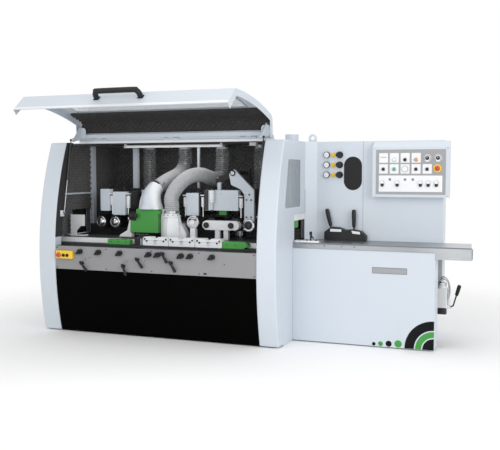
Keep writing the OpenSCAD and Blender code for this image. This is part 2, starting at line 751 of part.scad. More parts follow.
// Infeed lever: boss on the pin, steel stem and long grip
module infeed_lever(at, lean) {
    boss_r = 16;
    side_gap = 0.5;
    stem = 62;
    grip = 150;
    color(black_c) placed() translate([at[0], lever_y, at[1]]) difference() {
        union() {
            rod_y(side_gap - lever_slot_w / 2, lever_slot_w / 2 - side_gap, 0, 0, boss_r);
            rotate([0, lean, 0]) {
                rod_z(0, stem + 10, 0, 0, 7);
                rod_z(stem, stem + 12, 0, 0, 12);
                translate([0, 0, stem + 12]) cylinder(h = grip - 12, r1 = 12, r2 = 15);
                rod_z(stem + grip, stem + grip + 6, 0, 0, 12);
            }
        }
        rod_y(-lever_slot_w, lever_slot_w, 0, 0, lever_pin_r + running_fit);
    }
}
module table_lever() { infeed_lever(table_lever_at, -14); }
module fence_lever() { infeed_lever(fence_lever_at, -1); }

// Hand lubrication pump: head, reservoir, foot and lever fork on a wall plate
module pump_body() {
    w = 88;
    d = 88;
    x1 = pump_x + w;
    fork = 5;
    fork_gap = 18;
    mid_y = pump_y + d / 2;
    color(white_c) placed() difference() {
        union() {
            box([pump_x - 10, control_y - 12, 250], [control_end_x, control_y, 530]);
            box([pump_x + 16, pump_y + d - 6, 262], [x1 - 12, control_y - 11, 518]);
            translate([0, 0, 312]) linear_extrude(164)
                polygon(rounded([[pump_x, pump_y], [x1, pump_y], [x1, pump_y + d],
                [pump_x, pump_y + d]], 10));
            translate([0, 0, 262]) linear_extrude(51)
                polygon(rounded([[pump_x + 12, pump_y + 10], [x1 - 6, pump_y + 10],
                [x1 - 6, pump_y + d - 10], [pump_x + 12, pump_y + d - 10]], 12));
            rod_z(475, 496, pump_x + w / 2, mid_y, 40);
            rod_z(495, 518, pump_x + w / 2, mid_y, 26);
            rod_z(330, 470, x1 + 11, pump_y + d - 20, 11);
            for (s = [-1, 1]) {
                y0 = s < 0 ? mid_y - fork_gap / 2 - fork : mid_y + fork_gap / 2;
                xz_plate(y0, y0 + fork) polygon([[x1 - 7, 300], [pump_pin_at[0], 304],
                    [pump_pin_at[0] + 10, 316],
                    [pump_pin_at[0], 328], [x1 - 7, 332]]);
            }
            rod_y(mid_y - fork_gap / 2 - fork, mid_y + fork_gap / 2 + fork, pump_pin_at[0],
                pump_pin_at[1], pump_pin_r);
        }
    }
}
module pump_lever() {
    lean = 16;
    side_gap = 0.5;
    half_w = 9;
    color(black_c) placed() translate([pump_pin_at[0], pump_y + 44, pump_pin_at[1]]) difference() {
        union() {
            rod_y(side_gap - half_w, half_w - side_gap, 0, 0, 11);
            rotate([0, 62, 0]) rod_z(0, 30, 0, 0, 6);
            translate([26, 0, 14]) sphere(r = 6);
            translate([26, 0, 14]) rotate([0, lean, 0]) {
                rod_z(0, 100, 0, 0, 6);
                translate([0, 0, 95]) cylinder(h = 80, r1 = 9, r2 = 12);
                rod_z(175, 181, 0, 0, 9);
            }
        }
        rod_y(-2 * half_w, 2 * half_w, 0, 0, pump_pin_r + running_fit);
    }
}

// Ribbed extraction hose along a smooth path, with its bore
hose_sides = 8;
// Routes of the drop hoses: the first and last run straight down, the middle two swing forward
hose_drop_z = roof_h - 488;
hose_roof_z = roof_h - sheet_t;
top_duct = [900, -5, table_h + 262];
top_duct_turn = 18;
elbow_bend_r = 170;
elbow_bend_a = 65;
elbow_neck = 40;
side_port = [1142, -20, table_h + 240];
function elbow_end() = let (run = elbow_bend_r * (1 - cos(elbow_bend_a)))
    top_duct + [run * sin(top_duct_turn), run * cos(top_duct_turn),
        elbow_neck + elbow_bend_r * sin(elbow_bend_a)];
function elbow_dir() = [sin(elbow_bend_a) * sin(top_duct_turn),
    sin(elbow_bend_a) * cos(top_duct_turn), cos(elbow_bend_a)];
function hose_top(i) = [hose_x + i * hose_pitch, hose_y, hose_roof_z];
// Straight end that a hose needs over its collar
hose_seat = 55;
function hose_end(i) = [for (d = [140, hose_seat, 0]) hose_top(i) - [0, 0, d]];
// Height between the elbow's mouth and the roof
function arch_z(share) = elbow_end()[2] + share * (hose_roof_z - elbow_end()[2]);
routes = [
    [hose_top(0), hose_top(0) + [0, 0, hose_drop_z - hose_roof_z]],
    concat([elbow_end(), elbow_end() + 140 * elbow_dir()],
        [[960, 470, arch_z(0.29)], [954, 600, arch_z(0.45)]], hose_end(1)),
    concat([side_port, side_port + [0, 0, hose_seat], side_port + [0, 0, 136]],
        [[1174, 32, table_h + 470], [1236, 130, table_h + 552], [1300, 255, table_h + 574],
        [1344, 385, table_h + 543], [1352, 505, table_h + 526], [1350, 612, table_h + 578]], hose_end(2)),
    [hose_top(3), hose_top(3) + [0, 0, hose_drop_z - hose_roof_z]]];
hose_ribs = [30, 52, 72, 30];
// Smooth curve through the route's points, u from 0 to the number of spans
function route_point(p, u) =
    let (n = len(p) - 1, i = min(floor(u), n - 1), t = u - i,
        a = p[max(i - 1, 0)], b = p[i], c = p[i + 1], d = p[min(i + 2, n)],
        t2 = t * t, t3 = t2 * t)
    0.5 * (2 * b + (c - a) * t + (2 * a - 5 * b + 4 * c - d) * t2 + (3 * b - a - 3 * c + d) * t3);
function route_dir(p, u) =
    let (n = len(p) - 1, e = 0.01)
    u < e ? unit(p[1] - p[0]) : (u > n - e ? unit(p[n] - p[n - 1]) :
        unit(route_point(p, u + e) - route_point(p, u - e)));
function ring(c, dir, r) =
    let (side = unit(cross(dir, [0.8, -0.6, 0])), up = cross(side, dir))
    [for (k = [0:hose_sides - 1])
        c + r * (cos(360 * k / hose_sides) * side + sin(360 * k / hose_sides) * up)];
module ribbed_hose(p, ribs) {
    spans = len(p) - 1;
    outer_n = 2 * ribs + 1;
    inner_n = 2 * ribs + 1;
    bore_r = hose_r - rib_h - hose_wall;
    outer = [for (i = [0:outer_n - 1]) let (u = spans * i / (outer_n - 1))
        each ring(route_point(p, u), route_dir(p, u), i % 2 == 0 ? hose_r - rib_h : hose_r)];
    bore_step = 6;
    bore_rings = [for (i = [0:bore_step:inner_n - 1]) i];
    inner_is = bore_rings[len(bore_rings) - 1] == inner_n - 1 ? bore_rings :
        concat(bore_rings, [inner_n - 1]);
    inner = [for (i = inner_is) let (u = spans * i / (inner_n - 1))
        each ring(route_point(p, u), route_dir(p, u), bore_r)];
    s = hose_sides;
    no = len(outer);
    ni = len(inner_is);
    faces = concat(
        [for (i = [0:outer_n - 2]) for (k = [0:s - 1]) let (a = i * s + k, b = i * s + (k + 1) % s)
            each [[a, a + s, b], [b, a + s, b + s]]],
        [for (i = [0:ni - 2]) for (k = [0:s - 1]) let (a = no + i * s + k, b = no + i * s + (k + 1) % s)
            each [[a, b, a + s], [b, b + s, a + s]]],
        [for (k = [0:s - 1]) let (a = k, b = (k + 1) % s) each [[a, b, no + a], [b, no + b, no + a]]],
        [for (k = [0:s - 1]) let (a = no - s + k, b = no - s + (k + 1) % s,
            c = no + (ni - 1) * s + k, d = no + (ni - 1) * s + (k + 1) % s) each [[a, c, b], [b, c, d]]]);
    polyhedron(points = concat(outer, inner), faces = faces, convexity = 10);
}
module extraction_hoses() {
    color(hose_c) placed() for (i = [0:hose_count - 1]) ribbed_hose(routes[i], hose_ribs[i]);
}

// Ducts: elbow on the top head, upright ducts for the drop hoses and the pipe of the first bottom head
module suction_ducts() {
    wall = 3;
    duct_w = 150;
    flange_h = 8;
    color(panel_c) placed() {
        translate(top_duct) difference() {
            union() {
                cylinder(h = elbow_neck, r1 = elbow_r + 20, r2 = elbow_r);
                translate([0, 0, elbow_neck]) rotate([0, 0, 90 - top_duct_turn])
                    translate([elbow_bend_r, 0, 0])
                    rotate([90, 0, 180]) rotate_extrude(angle = elbow_bend_a)
                        translate([elbow_bend_r, 0]) circle(r = elbow_r);
            }
            translate([0, 0, -1]) cylinder(h = elbow_neck + 1, r1 = elbow_r + 17, r2 = elbow_r - wall);
            translate([0, 0, elbow_neck - 0.01]) rotate([0, 0, 90 - top_duct_turn])
                translate([elbow_bend_r, 0, 0])
                rotate([90, 0, 180]) rotate_extrude(angle = elbow_bend_a + 1)
                    translate([elbow_bend_r, 0]) circle(r = elbow_r - wall);
        }
        for (i = [0, hose_count - 1]) let (p = hose_top(i)) difference() {
            union() {
                box([p[0] - duct_w / 2, p[1] - duct_w / 2, plinth_h],
                    [p[0] + duct_w / 2, p[1] + duct_w / 2, hose_drop_z - flange_h]);
                rod_z(hose_drop_z - flange_h - 1, hose_drop_z, p[0], p[1], hose_r);
                rod_z(hose_drop_z - 1, hose_drop_z + collar_h, p[0], p[1], collar_r);
            }
            box([p[0] - duct_w / 2 + wall, p[1] - duct_w / 2 + wall, plinth_h - 1],
                [p[0] + duct_w / 2 - wall, p[1] + duct_w / 2 - wall, hose_drop_z - flange_h - wall]);
            rod_z(hose_drop_z - flange_h - wall - 1, hose_drop_z + collar_h + 1, p[0], p[1],
                collar_r - spigot_wall);
        }
        difference() {
            rod_z(plinth_h, roof_h - sheet_t - collar_h, last_spigot[0], last_spigot[1], spigot_r);
            rod_z(plinth_h - 1, roof_h, last_spigot[0], last_spigot[1], spigot_r - wall);
        }
    }
}

// Guard of the top head: front box and the shroud that runs back over the cutter
module top_head_cover() {
    x0 = top_x - 144;
    x1 = top_x + 144;
    z0 = table_h + 45;
    z1 = table_h + 260;
    y0 = -40;
    y1 = roller_y0;
    shroud_z = top_z + head_r + 10;
    color(green_c) placed() {
        difference() {
            union() {
                box([x0, y0, z0], [x1, y1, z1]);
                box([x0, y1 - 1, shroud_z], [x1, beam_y, z1]);
                // Stepped edge and stop block at the right of the front face
                box([x1 - 1, y0 + 10, z1 - 45], [x1 + 22, y1 - 20, z1 - 10]);
            }
            box([x0 + sheet_t, y0 + sheet_t, z0 - 1], [x1 - sheet_t, y1 + 1, z1 - sheet_t]);
            box([x0 + sheet_t, y1 - 2, shroud_z - 1], [x1 - sheet_t, beam_y + 1, z1 - sheet_t]);
            rod_z(z1 - sheet_t - 1, z1 + 1, top_duct[0], top_duct[1], elbow_r - 10);
        }
        for (x = [x0 + 22, x0 + 68]) {
            rod_y(y0 - 26, y0 + 1, x, z1 - 50, 9);
            rod_y(y0 - 46, y0 - 25, x, z1 - 50, 24);
        }
    }
}

// Chip hood of the left head: barrel with collar, and a flat cheek beside the cutter
module side_head_hood() {
    r = 88;
    x = side_port[0] + 8;
    y = side_port[1];
    z0 = table_h;
    neck_z = side_port[2] - 46;
    color(white_c) placed() difference() {
        union() {
            rod_z(z0, neck_z - 40, x, y, r);
            translate([x, y, neck_z - 40]) cylinder(h = 40, r1 = r, r2 = hose_r + 4);
            translate([side_port[0], y, neck_z]) cylinder(h = 16, r = hose_r + 12);
            translate([side_port[0], y, neck_z + 15]) cylinder(h = side_port[2] - neck_z - 15, r = hose_r);
            rod_z(side_port[2] - 1, side_port[2] + collar_h, side_port[0], y, collar_r);
            box([x, y - 10, z0], [x + 140, y + 78, z0 + 170]);
        }
        rod_z(z0 - 1, side_port[2] + collar_h + 1, side_port[0], y, collar_r - spigot_wall);
        rod_z(z0 - 1, side_port[2], left_x, left_y, head_r + 12);
    }
}

// Feed beam on two columns, with the top head's quill, hanger posts and the swing arm's bracket
swing_pivot = [1690, beam_z + beam_h + 0.35 * (roof_h - beam_z - beam_h)];
module feed_beam() {
    x0 = 280;
    x1 = 1960;
    column_w = 80;
    post_w = 45;
    thin_post_w = 20;
    color(grey_c) placed() difference() {
        union() {
            box([x0, beam_y, beam_z], [x1, beam_y + beam_d, beam_z + beam_h]);
            for (x = [x0 + 20, x1 - 180])
                box([x, beam_y + 10, bed_top], [x + column_w, beam_y + beam_d, beam_z + 1]);
            box([top_x - quill_w / 2, beam_y, top_z - 90],
                [top_x + quill_w / 2, beam_y + beam_d, beam_z + 1]);
            box([505 - post_w / 2, beam_y + 20, beam_z + beam_h - 1],
                [505 + post_w / 2, beam_y + 20 + post_w, roof_h - sheet_t]);
            box([1190 - thin_post_w / 2, beam_y + 20, beam_z + beam_h - 1],
                [1190 + thin_post_w / 2, beam_y + 20 + thin_post_w, roof_h - sheet_t]);
            xz_plate(beam_y, beam_y + 30) polygon(rounded([[swing_pivot[0] - 40, beam_z + beam_h - 20],
                [swing_pivot[0] + 50, beam_z + beam_h - 20], [swing_pivot[0] + 34, swing_pivot[1] + 34],
                [swing_pivot[0] - 30, swing_pivot[1] + 34]], 12));
        }
        rod_y(beam_y - 1, beam_y + beam_d + 1, top_x, top_z, spindle_r + running_fit);
    }
}

// Housings along the beam: place, width, lower and upper face above the table
housings = [[346, 97, 234, 439], [479, 133, 197, 414], [1245, 139, 207, 410], [1424, 330, 256, 438]];
housing_y = 60;
arm_y = roller_y0 + roller_l + 10;
arm_w = 25;
swing_y = 95;
swing_w = 30;
// Which housing carries each of the first four rollers
carriers = [0, 1, 3, 3];
module roller_arm(i) {
    h = housings[carriers[i]];
    x = roller_xs[i];
    low = table_h + h[2];
    foot = 42;
    x0 = max(h[0], x - foot);
    x1 = min(h[0] + h[1], x + foot + 60);
    difference() {
        union() {
            rod_y(arm_y, arm_y + arm_w, x, roller_z, foot);
            xz_plate(arm_y, arm_y + arm_w)
                polygon([[x - foot, roller_z], [x + foot, roller_z], [x1, low + 1], [x0, low + 1]]);
        }
        rod_y(arm_y - 1, arm_y + arm_w + 1, x, roller_z, roller_shaft_r + running_fit);
    }
}
// Height on the swing arm, as a share of the way from roller to pivot
function knee(share) = roller_z + share * (swing_pivot[1] - roller_z);
// Bent arm that swings the first roller, with its pivot shaft
module swing_arm() {
    x = roller_xs[4];
    px = swing_pivot[0];
    pz = swing_pivot[1];
    outline = [[px - 36, pz - 8], [px + 12, pz + 36], [x + 47, knee(0.675)], [x + 47, roller_z - 44],
        [x - 43, roller_z - 44], [x - 43, knee(0.585)],
        [px + 72, knee(0.69)], [px - 18, knee(0.775)]];
    difference() {
        xz_plate(swing_y, swing_y + swing_w) polygon(rounded(outline, 14));
        rod_y(swing_y - 1, swing_y + swing_w + 1, x, roller_z, roller_shaft_r + running_fit);
        for (p = [[x - 22, knee(0.485)], [x + 22, knee(0.485)], [x + 4, knee(0.589)]])
            rod_y(swing_y - 1, swing_y + 8, p[0], p[1], 7);
    }
    rod_y(swing_y + swing_w - 1, beam_y, px, pz, 15);
}
module roller_housings() {
    color(panel_c) placed() {
        for (i = [0:3]) let (h = housings[i]) union() {
            difference() {
                xz_plate(housing_y, beam_y) polygon(rounded([[h[0], table_h + h[2]],
                    [h[0] + h[1], table_h + h[2]],
                    [h[0] + h[1], table_h + h[3]], [h[0], table_h + h[3]]], 8));
                rod_y(housing_y - 1, housing_y + 6, h[0] + h[1] / 2, table_h + h[3] - 34, 6);
            }
            for (k = [0:3]) if (carriers[k] == i) roller_arm(k);
            for (c = cylinders) if (c[4] == i) cylinder_tab(c);
        }
        swing_arm();
    }
}
// Air cylinders: place, lower and upper end above the table, rod length, housing and side of the housing
cylinders = [[461, 289, 388, 84, 0, 1], [634, 264, 389, 110, 1, 1], [1226, 287, 382, 90, 2, -1],
    [1404, 286, 384, 90, 2, 1], [1774, 283, 379, 90, 3, 1]];
cylinder_r = 17;
cylinder_y = housing_y + 24;
// Tab on the housing's side that the cylinder hangs from
module cylinder_tab(c) {
    h = housings[c[4]];
    x0 = c[5] > 0 ? h[0] + h[1] - 1 : c[0] - cylinder_r;
    x1 = c[5] > 0 ? c[0] + cylinder_r : h[0] + 1;
    box([x0, housing_y + 4, table_h + c[2]], [x1, housing_y + 44, table_h + c[2] + 12]);
}
module air_cylinders() {
    cap_h = 14;
    color(white_c) placed() {
        for (c = cylinders) let (z0 = table_h + c[1], z1 = table_h + c[2]) {
            rod_z(z0 + cap_h, z1 - cap_h, c[0], cylinder_y, cylinder_r - 2);
            rod_z(z1 - cap_h - 0.5, z1, c[0], cylinder_y, cylinder_r);
            rod_z(z0, z0 + cap_h + 0.5, c[0], cylinder_y, cylinder_r);
            rod_z(z0 - c[3], z0 + 1, c[0], cylinder_y, 6);
            rod_z(z0 - c[3] - 24, z0 - c[3] + 1, c[0], cylinder_y, 10);
        }
        front_cylinder();
        tilt_cylinder();
    }
}
// Upright cylinder on the front face of the wide housing
module front_cylinder() {
    x = 1512;
    y = housing_y - 20;
    z0 = table_h + 332;
    rod_z(z0, z0 + 116, x, y, 18);
    rod_z(z0 - 70, z0 + 1, x, y, 7);
    box([x - 14, y, z0 + 80], [x + 14, housing_y, z0 + 108]);
}
// Cylinder that leans against the swing arm from a lug on the wide housing
module tilt_cylinder() {
    lug_x = 1540;
    z1 = table_h + housings[3][3];
    lean = 70;
    y = swing_y + swing_w + 22;
    box([lug_x - 16, y - 14, z1], [lug_x + 16, y + 14, z1 + 0.737 * (swing_pivot[1] - z1)]);
    translate([lug_x, y, z1 + 0.684 * (swing_pivot[1] - z1)]) rotate([0, lean, 0]) {
        rod_z(0, 96, 0, 0, 21);
        rod_z(95, 118, 0, 0, 8);
    }
}

// Bearing bar in front of the paired rollers, on two feet
module pressure_bar() {
    y0 = -10;
    y1 = 50;
    half_h = 41;
    x0 = roller_xs[2];
    x1 = roller_xs[3] + 34;
    color(white_c) placed() difference() {
        union() {
            xz_plate(y0, y1) polygon(concat(arc([x1, roller_z], half_h, -90, 90, 14),
                arc([x0, roller_z], half_h, 90, 270, 14)));
            for (x = [x0 + 78, x0 + 160])
                box([x, y0 + 12, table_h], [x + 44, y1 - 12, roller_z - half_h + 1]);
        }
        for (i = [2, 3]) rod_y(y0 - 1, y1 + 1, roller_xs[i], roller_z, roller_shaft_r + running_fit);
    }
}

// Green chip guards on the bed's front rail and the upright guide by the infeed
module chip_guards() {
    y0 = -284;
    y1 = -222;
    long_guard = [[0, 0], [190, 0], [228, 22], [228, 38], [206, 58], [0, 58]];
    color(green_c) placed() {
        difference() {
            box([630, y0, bed_top], [850, y1, bed_top + 44]);
            for (x = [665, 740, 815]) rod_y(y0 - 1, y0 + 10, x, bed_top + 22, 6);
        }
        difference() {
            translate([1752, 0, bed_top]) xz_plate(y0, y1) polygon(rounded(long_guard, 5));
            for (x = [1790, 1870]) rod_y(y0 - 1, y0 + 10, x, bed_top + 30, 6);
        }
        // Upright guide just inside the infeed mouth
        box([enclosure_l - 90, 20, table_h], [enclosure_l - 54, 50, table_h + 160]);
    }
}

// Tube lamp under the roof, and its junction box
module work_lamp() {
    x0 = 560;
    x1 = 1570;
    y = 150;
    z = roof_h - 31;
    color(white_c) placed() {
        rod_x(x0 + 24, x1 - 24, y, z, 12);
        for (x = [x0, x1 - 25]) {
            rod_x(x, x + 25, y, z, 14);
            box([x + 5, y - 12, z + 8], [x + 20, y + 12, roof_h - sheet_t]);
        }
        box([1835, y - 20, roof_h - sheet_t - 32], [1895, y + 24, roof_h - sheet_t]);
    }
}

// Gauges, regulator seats, and the console's meter, buttons and switches
module panel_instruments() {
    face_y = console_y + 3;
    columns = [94, 186, 278, 371];
    dial_xs = [464, 552];
    // Pairs of start and stop buttons along the console's lower row
    pairs = [86, 214, 410, 475, 542];
    color(black_c) placed() {
        for (z = gauge_zs) {
            rod_y(control_y - 22, control_y, gauge_x, z, 28);
            rod_y(control_y - 6, control_y, gauge_x + 58, z, 20);
            rod_y(control_y - 8, control_y, regulator_x, z, 30);
            rod_y(control_y - 8 - knob_stud_l, control_y - 7, regulator_x, z, knob_stud_r);
        }
        for (x = columns) for (row = [0, 1])
            rod_y(face_y - 16, face_y, console_x + x, console_low + 326 - row * 84,
                row == 0 && x == columns[0] ? 24 : 13);
        for (x = dial_xs) {
            rod_y(face_y - 6, face_y, console_x + x, console_low + 331, 27);
            rod_y(face_y - 22, face_y - 5, console_x + x, console_low + 331, 14);
        }
        rod_y(face_y - 16, face_y, console_x + 464, console_low + 244, 13);
        for (x = pairs) translate([console_x + x, 0, console_low + 115]) xz_plate(face_y - 18, face_y)
            stadium(14, 26);
    }
}

// Emergency stop box on the adjuster panel, with two plain buttons
module estop_box() {
    y0 = panel_y - estop_box_d;
    color(yellow_c) placed() difference() {
        union() {
            xz_plate(y0, panel_y) polygon(rounded([[estop_box_x, estop_box_z],
                [estop_box_x + estop_box_w, estop_box_z],
                [estop_box_x + estop_box_w, estop_box_z + estop_box_h],
                    [estop_box_x, estop_box_z + estop_box_h]], 8));
            for (x = [estop_x + 53, estop_x + 93]) rod_y(y0 - 9, y0 + 1, x, estop_z, 14);
        }
        rod_y(y0 - 1, y0 + stem_l + 4, estop_x, estop_z, stem_r + running_fit);
    }
}
// Mushroom button: domed head on a stem, its face towards -Y
module mushroom(x, y, z, r) {
    translate([x, y, z]) rotate([90, 0, 0]) {
        translate([0, 0, -stem_l + 6]) cylinder(h = stem_l, r = stem_r);
        translate([0, 0, 6]) cylinder(h = 8, r1 = r - 3, r2 = r);
        translate([0, 0, 14]) intersection() {
            cylinder(h = 9, r = r);
            translate([0, 0, -22]) sphere(r = 30);
        }
    }
}
module front_estop() { color(red_c) placed() mushroom(estop_x, panel_y - estop_box_d, estop_z, 18); }
module console_estop() { color(red_c) placed()
    mushroom(console_estop_at[0], console_y + 3, console_estop_at[1], 20); }

// Drive motors hung under the bed
module spindle_motors() {
    xs = [260, 455, 860, 1400, 1830];
    r = 80;
    z = bed_top - bed_t - 150;
    color(grey_c) placed() for (x = xs) {
        rod_y(150, 410, x, z, r);
        rod_y(410, 440, x, z, 20);
        box([x - 60, 180, z], [x + 60, 380, bed_top - bed_t]);
    }
}

// Counters on the adjusting shafts along the panel
module position_indicators() {
    r = 23;
    d = 30;
    color(black_c) placed() for (x = indicator_xs) {
        translate([x, 0, indicator_z]) xz_plate(panel_y - d, panel_y)
            polygon(concat(arc([0, 0], r, -100, 170, 20), [[-38, -16], [-30, -26]]));
        rod_y(panel_y - d - 16, panel_y - d + 1, x, indicator_z, 8);
    }
}

// Hood skin, end flanges, hinge channel, lift arms and hinge knuckles
module hood_band(d0, d1) { polygon(concat(hood_path(d0), reversed(hood_path(d1)))); }
module arm_outline() {
    p = shut(strut_top);
    r = 18;
    polygon(concat(arc(p, r, 150, 380, 12), [[hinge[0] - 14, hinge[1] - 8], [hinge[0] - 14, hood_top - 2],
        [hinge[0] - 124, hood_top - 2], [hinge[0] - 122, hood_top - 44]]));
}
module hood_shell() {
    window_x0 = hood_x0 + window_end;
    window_x1 = hood_x1 - window_end;
    channel_y0 = hinge[0] - 48;
    channel_y1 = hinge[0] - 15;
    color(panel_c) placed() hood_pose() difference() {
        union() {
            difference() {
                yz_plate(hood_x0, hood_x1) hood_band(0, sheet_t);
                yz_plate(window_x0, window_x1) polygon(concat(hood_front(-2, window_low, window_high),
                    reversed(hood_front(sheet_t + 2, window_low, window_high))));
                // The skin's rear edge is cut back over the fixed knuckles
                for (x = hinge_xs) for (s = [-1, 1])
                    box([x + s * knuckle_w - knuckle_w / 2 - 1, hinge[0] - 14, hinge[1] - 20],
                        [x + s * knuckle_w + knuckle_w / 2 + 1, hinge[0] + 20, hood_top + 1]);
            }
            for (x = [hood_x0, hood_x1 - sheet_t]) yz_plate(x + 0.5, x + sheet_t - 0.5)
                hood_band(1, hood_flange);
            box([hood_x0, channel_y0, hinge[1] - 32], [hood_x1, channel_y1, hood_top - sheet_t + 0.5]);
            both_ends() yz_plate(arm_x, arm_x + arm_t) arm_outline();
            both_ends() rod_x(arm_x - 8, arm_x + 1, shut(strut_top)[0], shut(strut_top)[1], 6);
            for (x = hinge_xs) {
                rod_x(x - knuckle_w / 2 + knuckle_gap, x + knuckle_w / 2 - knuckle_gap, hinge[0],
                    hinge[1], knuckle_r);
                box([x - knuckle_w / 2 + knuckle_gap, channel_y1 - 1, hinge[1] - 8],
                    [x + knuckle_w / 2 - knuckle_gap, hinge[0], hood_top - 1]);
            }
        }
        for (x = hinge_xs) rod_x(x - knuckle_w, x + knuckle_w, hinge[0], hinge[1],
            hinge_pin_r + running_fit);
    }
}
// Curved pane behind the hood's window opening
module hood_window() {
    lap = 18;
    d0 = sheet_t + seat_gap;
    z0 = window_low - lap;
    z1 = window_high + lap;
    color(glass_c) placed() hood_pose() yz_plate(hood_x0 + window_end - lap, hood_x1 - window_end + lap)
        polygon(concat(hood_front(d0, z0, z1), reversed(hood_front(d0 + 5, z0, z1))));
}
// Foam inside the hood's roof and above and below its window
module hood_lining() {
    d0 = sheet_t + seat_gap;
    d1 = d0 + 30;
    x0 = arm_x + arm_t + 12;
    x1 = enclosure_l - x0;
    rear = hinge[0] - 60;
    top0 = window_high + 26;
    roof_line = concat([[rear, hood_top - d0]], arc(corner_c, hood_corner_r - d0, 90, corner_a, 6),
        hood_front(d0, corner_c[1] - 40, top0, 6));
    inner_line = concat([[rear, hood_top - d1]], arc(corner_c, hood_corner_r - d1, 90, corner_a, 6),
        hood_front(d1, corner_c[1] - 40, top0, 6));
    color(foam_c) placed() hood_pose() {
        yz_plate(x0, x1) polygon(concat(roof_line, reversed(inner_line)));
        yz_plate(x0, x1) polygon(concat(hood_front(d0, crease_h + 40, window_low - 26, 6),
            reversed(hood_front(d1, crease_h + 40, window_low - 26, 6))));
    }
}
// Bow handle on the lip
module hood_handle() {
    foot = 60;
    foot_w = 30;
    foot_h = 9;
    bow_h = 66;
    bar_r = 14;
    mid = crease + lip_dir * 70;
    x0 = hood_x0 + handle_x - handle_l / 2;
    color(black_c) placed() hood_pose() translate([x0, mid[0], mid[1]]) rotate([lip_tilt, 0, 0]) {
        for (x = [0, handle_l - foot]) box([x, -foot_h, -foot_w / 2], [x + foot, -0.05, foot_w / 2]);
        for (x = [foot / 2, handle_l - foot / 2]) rod_y(-bow_h, -foot_h + 1, x, 0, bar_r);
        rod_x(foot / 2, handle_l - foot / 2, -bow_h, 0, bar_r);
        for (x = [foot / 2, handle_l - foot / 2]) translate([x, -bow_h, 0]) sphere(r = bar_r);
    }
}

// Gas struts: rods on the wall pins, cylinders on the hood's lift arms
module strut_frame() {
    both_ends() translate([strut_x, strut_low[0], strut_low[1]]) rotate([-strut_tilt, 0, 0]) children();
}
module strut_rods() {
    rod_l = strut_len - strut_cylinder_l + 60;
    color(steel_c) placed() strut_frame() difference() {
        union() {
            rod_x(-strut_eye_w / 2, strut_eye_w / 2, 0, 0, strut_eye_r);
            rod_z(0, rod_l, 0, 0, strut_rod_r);
        }
        rod_x(-strut_eye_w, strut_eye_w, 0, 0, 5 + running_fit);
    }
}
module strut_cylinders() {
    bore_l = 0.587 * strut_cylinder_l;
    z0 = strut_len - strut_cylinder_l;
    color(black_c) placed() strut_frame() difference() {
        union() {
            rod_z(z0, strut_len - 4, 0, 0, strut_cylinder_r);
            translate([0, 0, strut_len]) rod_x(-strut_eye_w / 2, strut_eye_w / 2, 0, 0, strut_eye_r + 2);
        }
        rod_z(z0 - 1, z0 + bore_l, 0, 0, strut_rod_r + seat_gap);
    }
}

// Cutter head with four gullets and a lock nut, along +Z from the origin
module cutter(l) {
    gullet_w = 16;
    difference() {
        cylinder(h = l, r = head_r);
        for (a = [0:90:270]) rotate([0, 0, a]) translate([head_r - 24, -gullet_w / 2, -1])
            cube([26, gullet_w, l + 2]);
    }
    translate([0, 0, -12]) cylinder(h = 12.5, r = spindle_r + 12, $fn = 6);
}
module horizontal_spindle(x, z) {
    color(steel_c) placed() translate([x, head_y0, z]) rotate([-90, 0, 0]) {
        cutter(head_l);
        cylinder(h = beam_y + beam_d - head_y0 - 2, r = spindle_r);
    }
}
module vertical_spindle(x, y) {
    color(steel_c) placed() translate([x, y, 0]) {
        translate([0, 0, vertical_head_z + vertical_head_l]) mirror([0, 0, 1]) cutter(vertical_head_l);
        rod_z(bed_top - 160, vertical_head_z + 1, 0, 0, spindle_r);
    }
}
module bottom_spindle_1() { horizontal_spindle(bottom_1_x, bottom_z); }
module bottom_spindle_2() { horizontal_spindle(bottom_2_x, bottom_z); }
module top_spindle() { horizontal_spindle(top_x, top_z); }
module left_spindle() { vertical_spindle(left_x, left_y); }
module right_spindle() { vertical_spindle(right_x, right_y); }

// Toothed feed roller with hub and shaft: front face, start of the barrel and end of the shaft along +Y
module feed_roller(i, front, barrel_y, barrel_l, shaft_end, hub_r) {
    tooth = 3;
    outline = [for (k = [0:2 * roller_teeth - 1])
        (k % 2 == 0 ? roller_r : roller_r - tooth) * [cos(180 * k / roller_teeth),
            sin(180 * k / roller_teeth)]];
    color(steel_c) placed() translate([roller_xs[i], 0, roller_z]) {
        xz_plate(barrel_y, barrel_y + barrel_l) polygon(outline);
        rod_y(front + 4, shaft_end, 0, 0, roller_shaft_r);
        difference() {
            rod_y(front, front + 14, 0, 0, hub_r);
            rod_y(front - 1, front + 5, 0, 0, hub_r - 16);
        }
    }
}
shaft_end_y = arm_y + arm_w + 3;
module feed_roller_1() { feed_roller(0, roller_y0 - 12, roller_y0, roller_l, shaft_end_y, 46); }
module feed_roller_2() { feed_roller(1, roller_y0 - 12, roller_y0, roller_l, shaft_end_y, 46); }
module feed_roller_3() { feed_roller(2, -28, roller_y0, roller_l, shaft_end_y, 26); }
module feed_roller_4() { feed_roller(3, -28, roller_y0, roller_l, shaft_end_y, 26); }
module feed_roller_5() {
    gap = 6;
    feed_roller(4, swing_y - 20, swing_y + swing_w + gap, roller_y0 + roller_l - swing_y - swing_w - gap,
        roller_y0 + roller_l, roller_r);
}

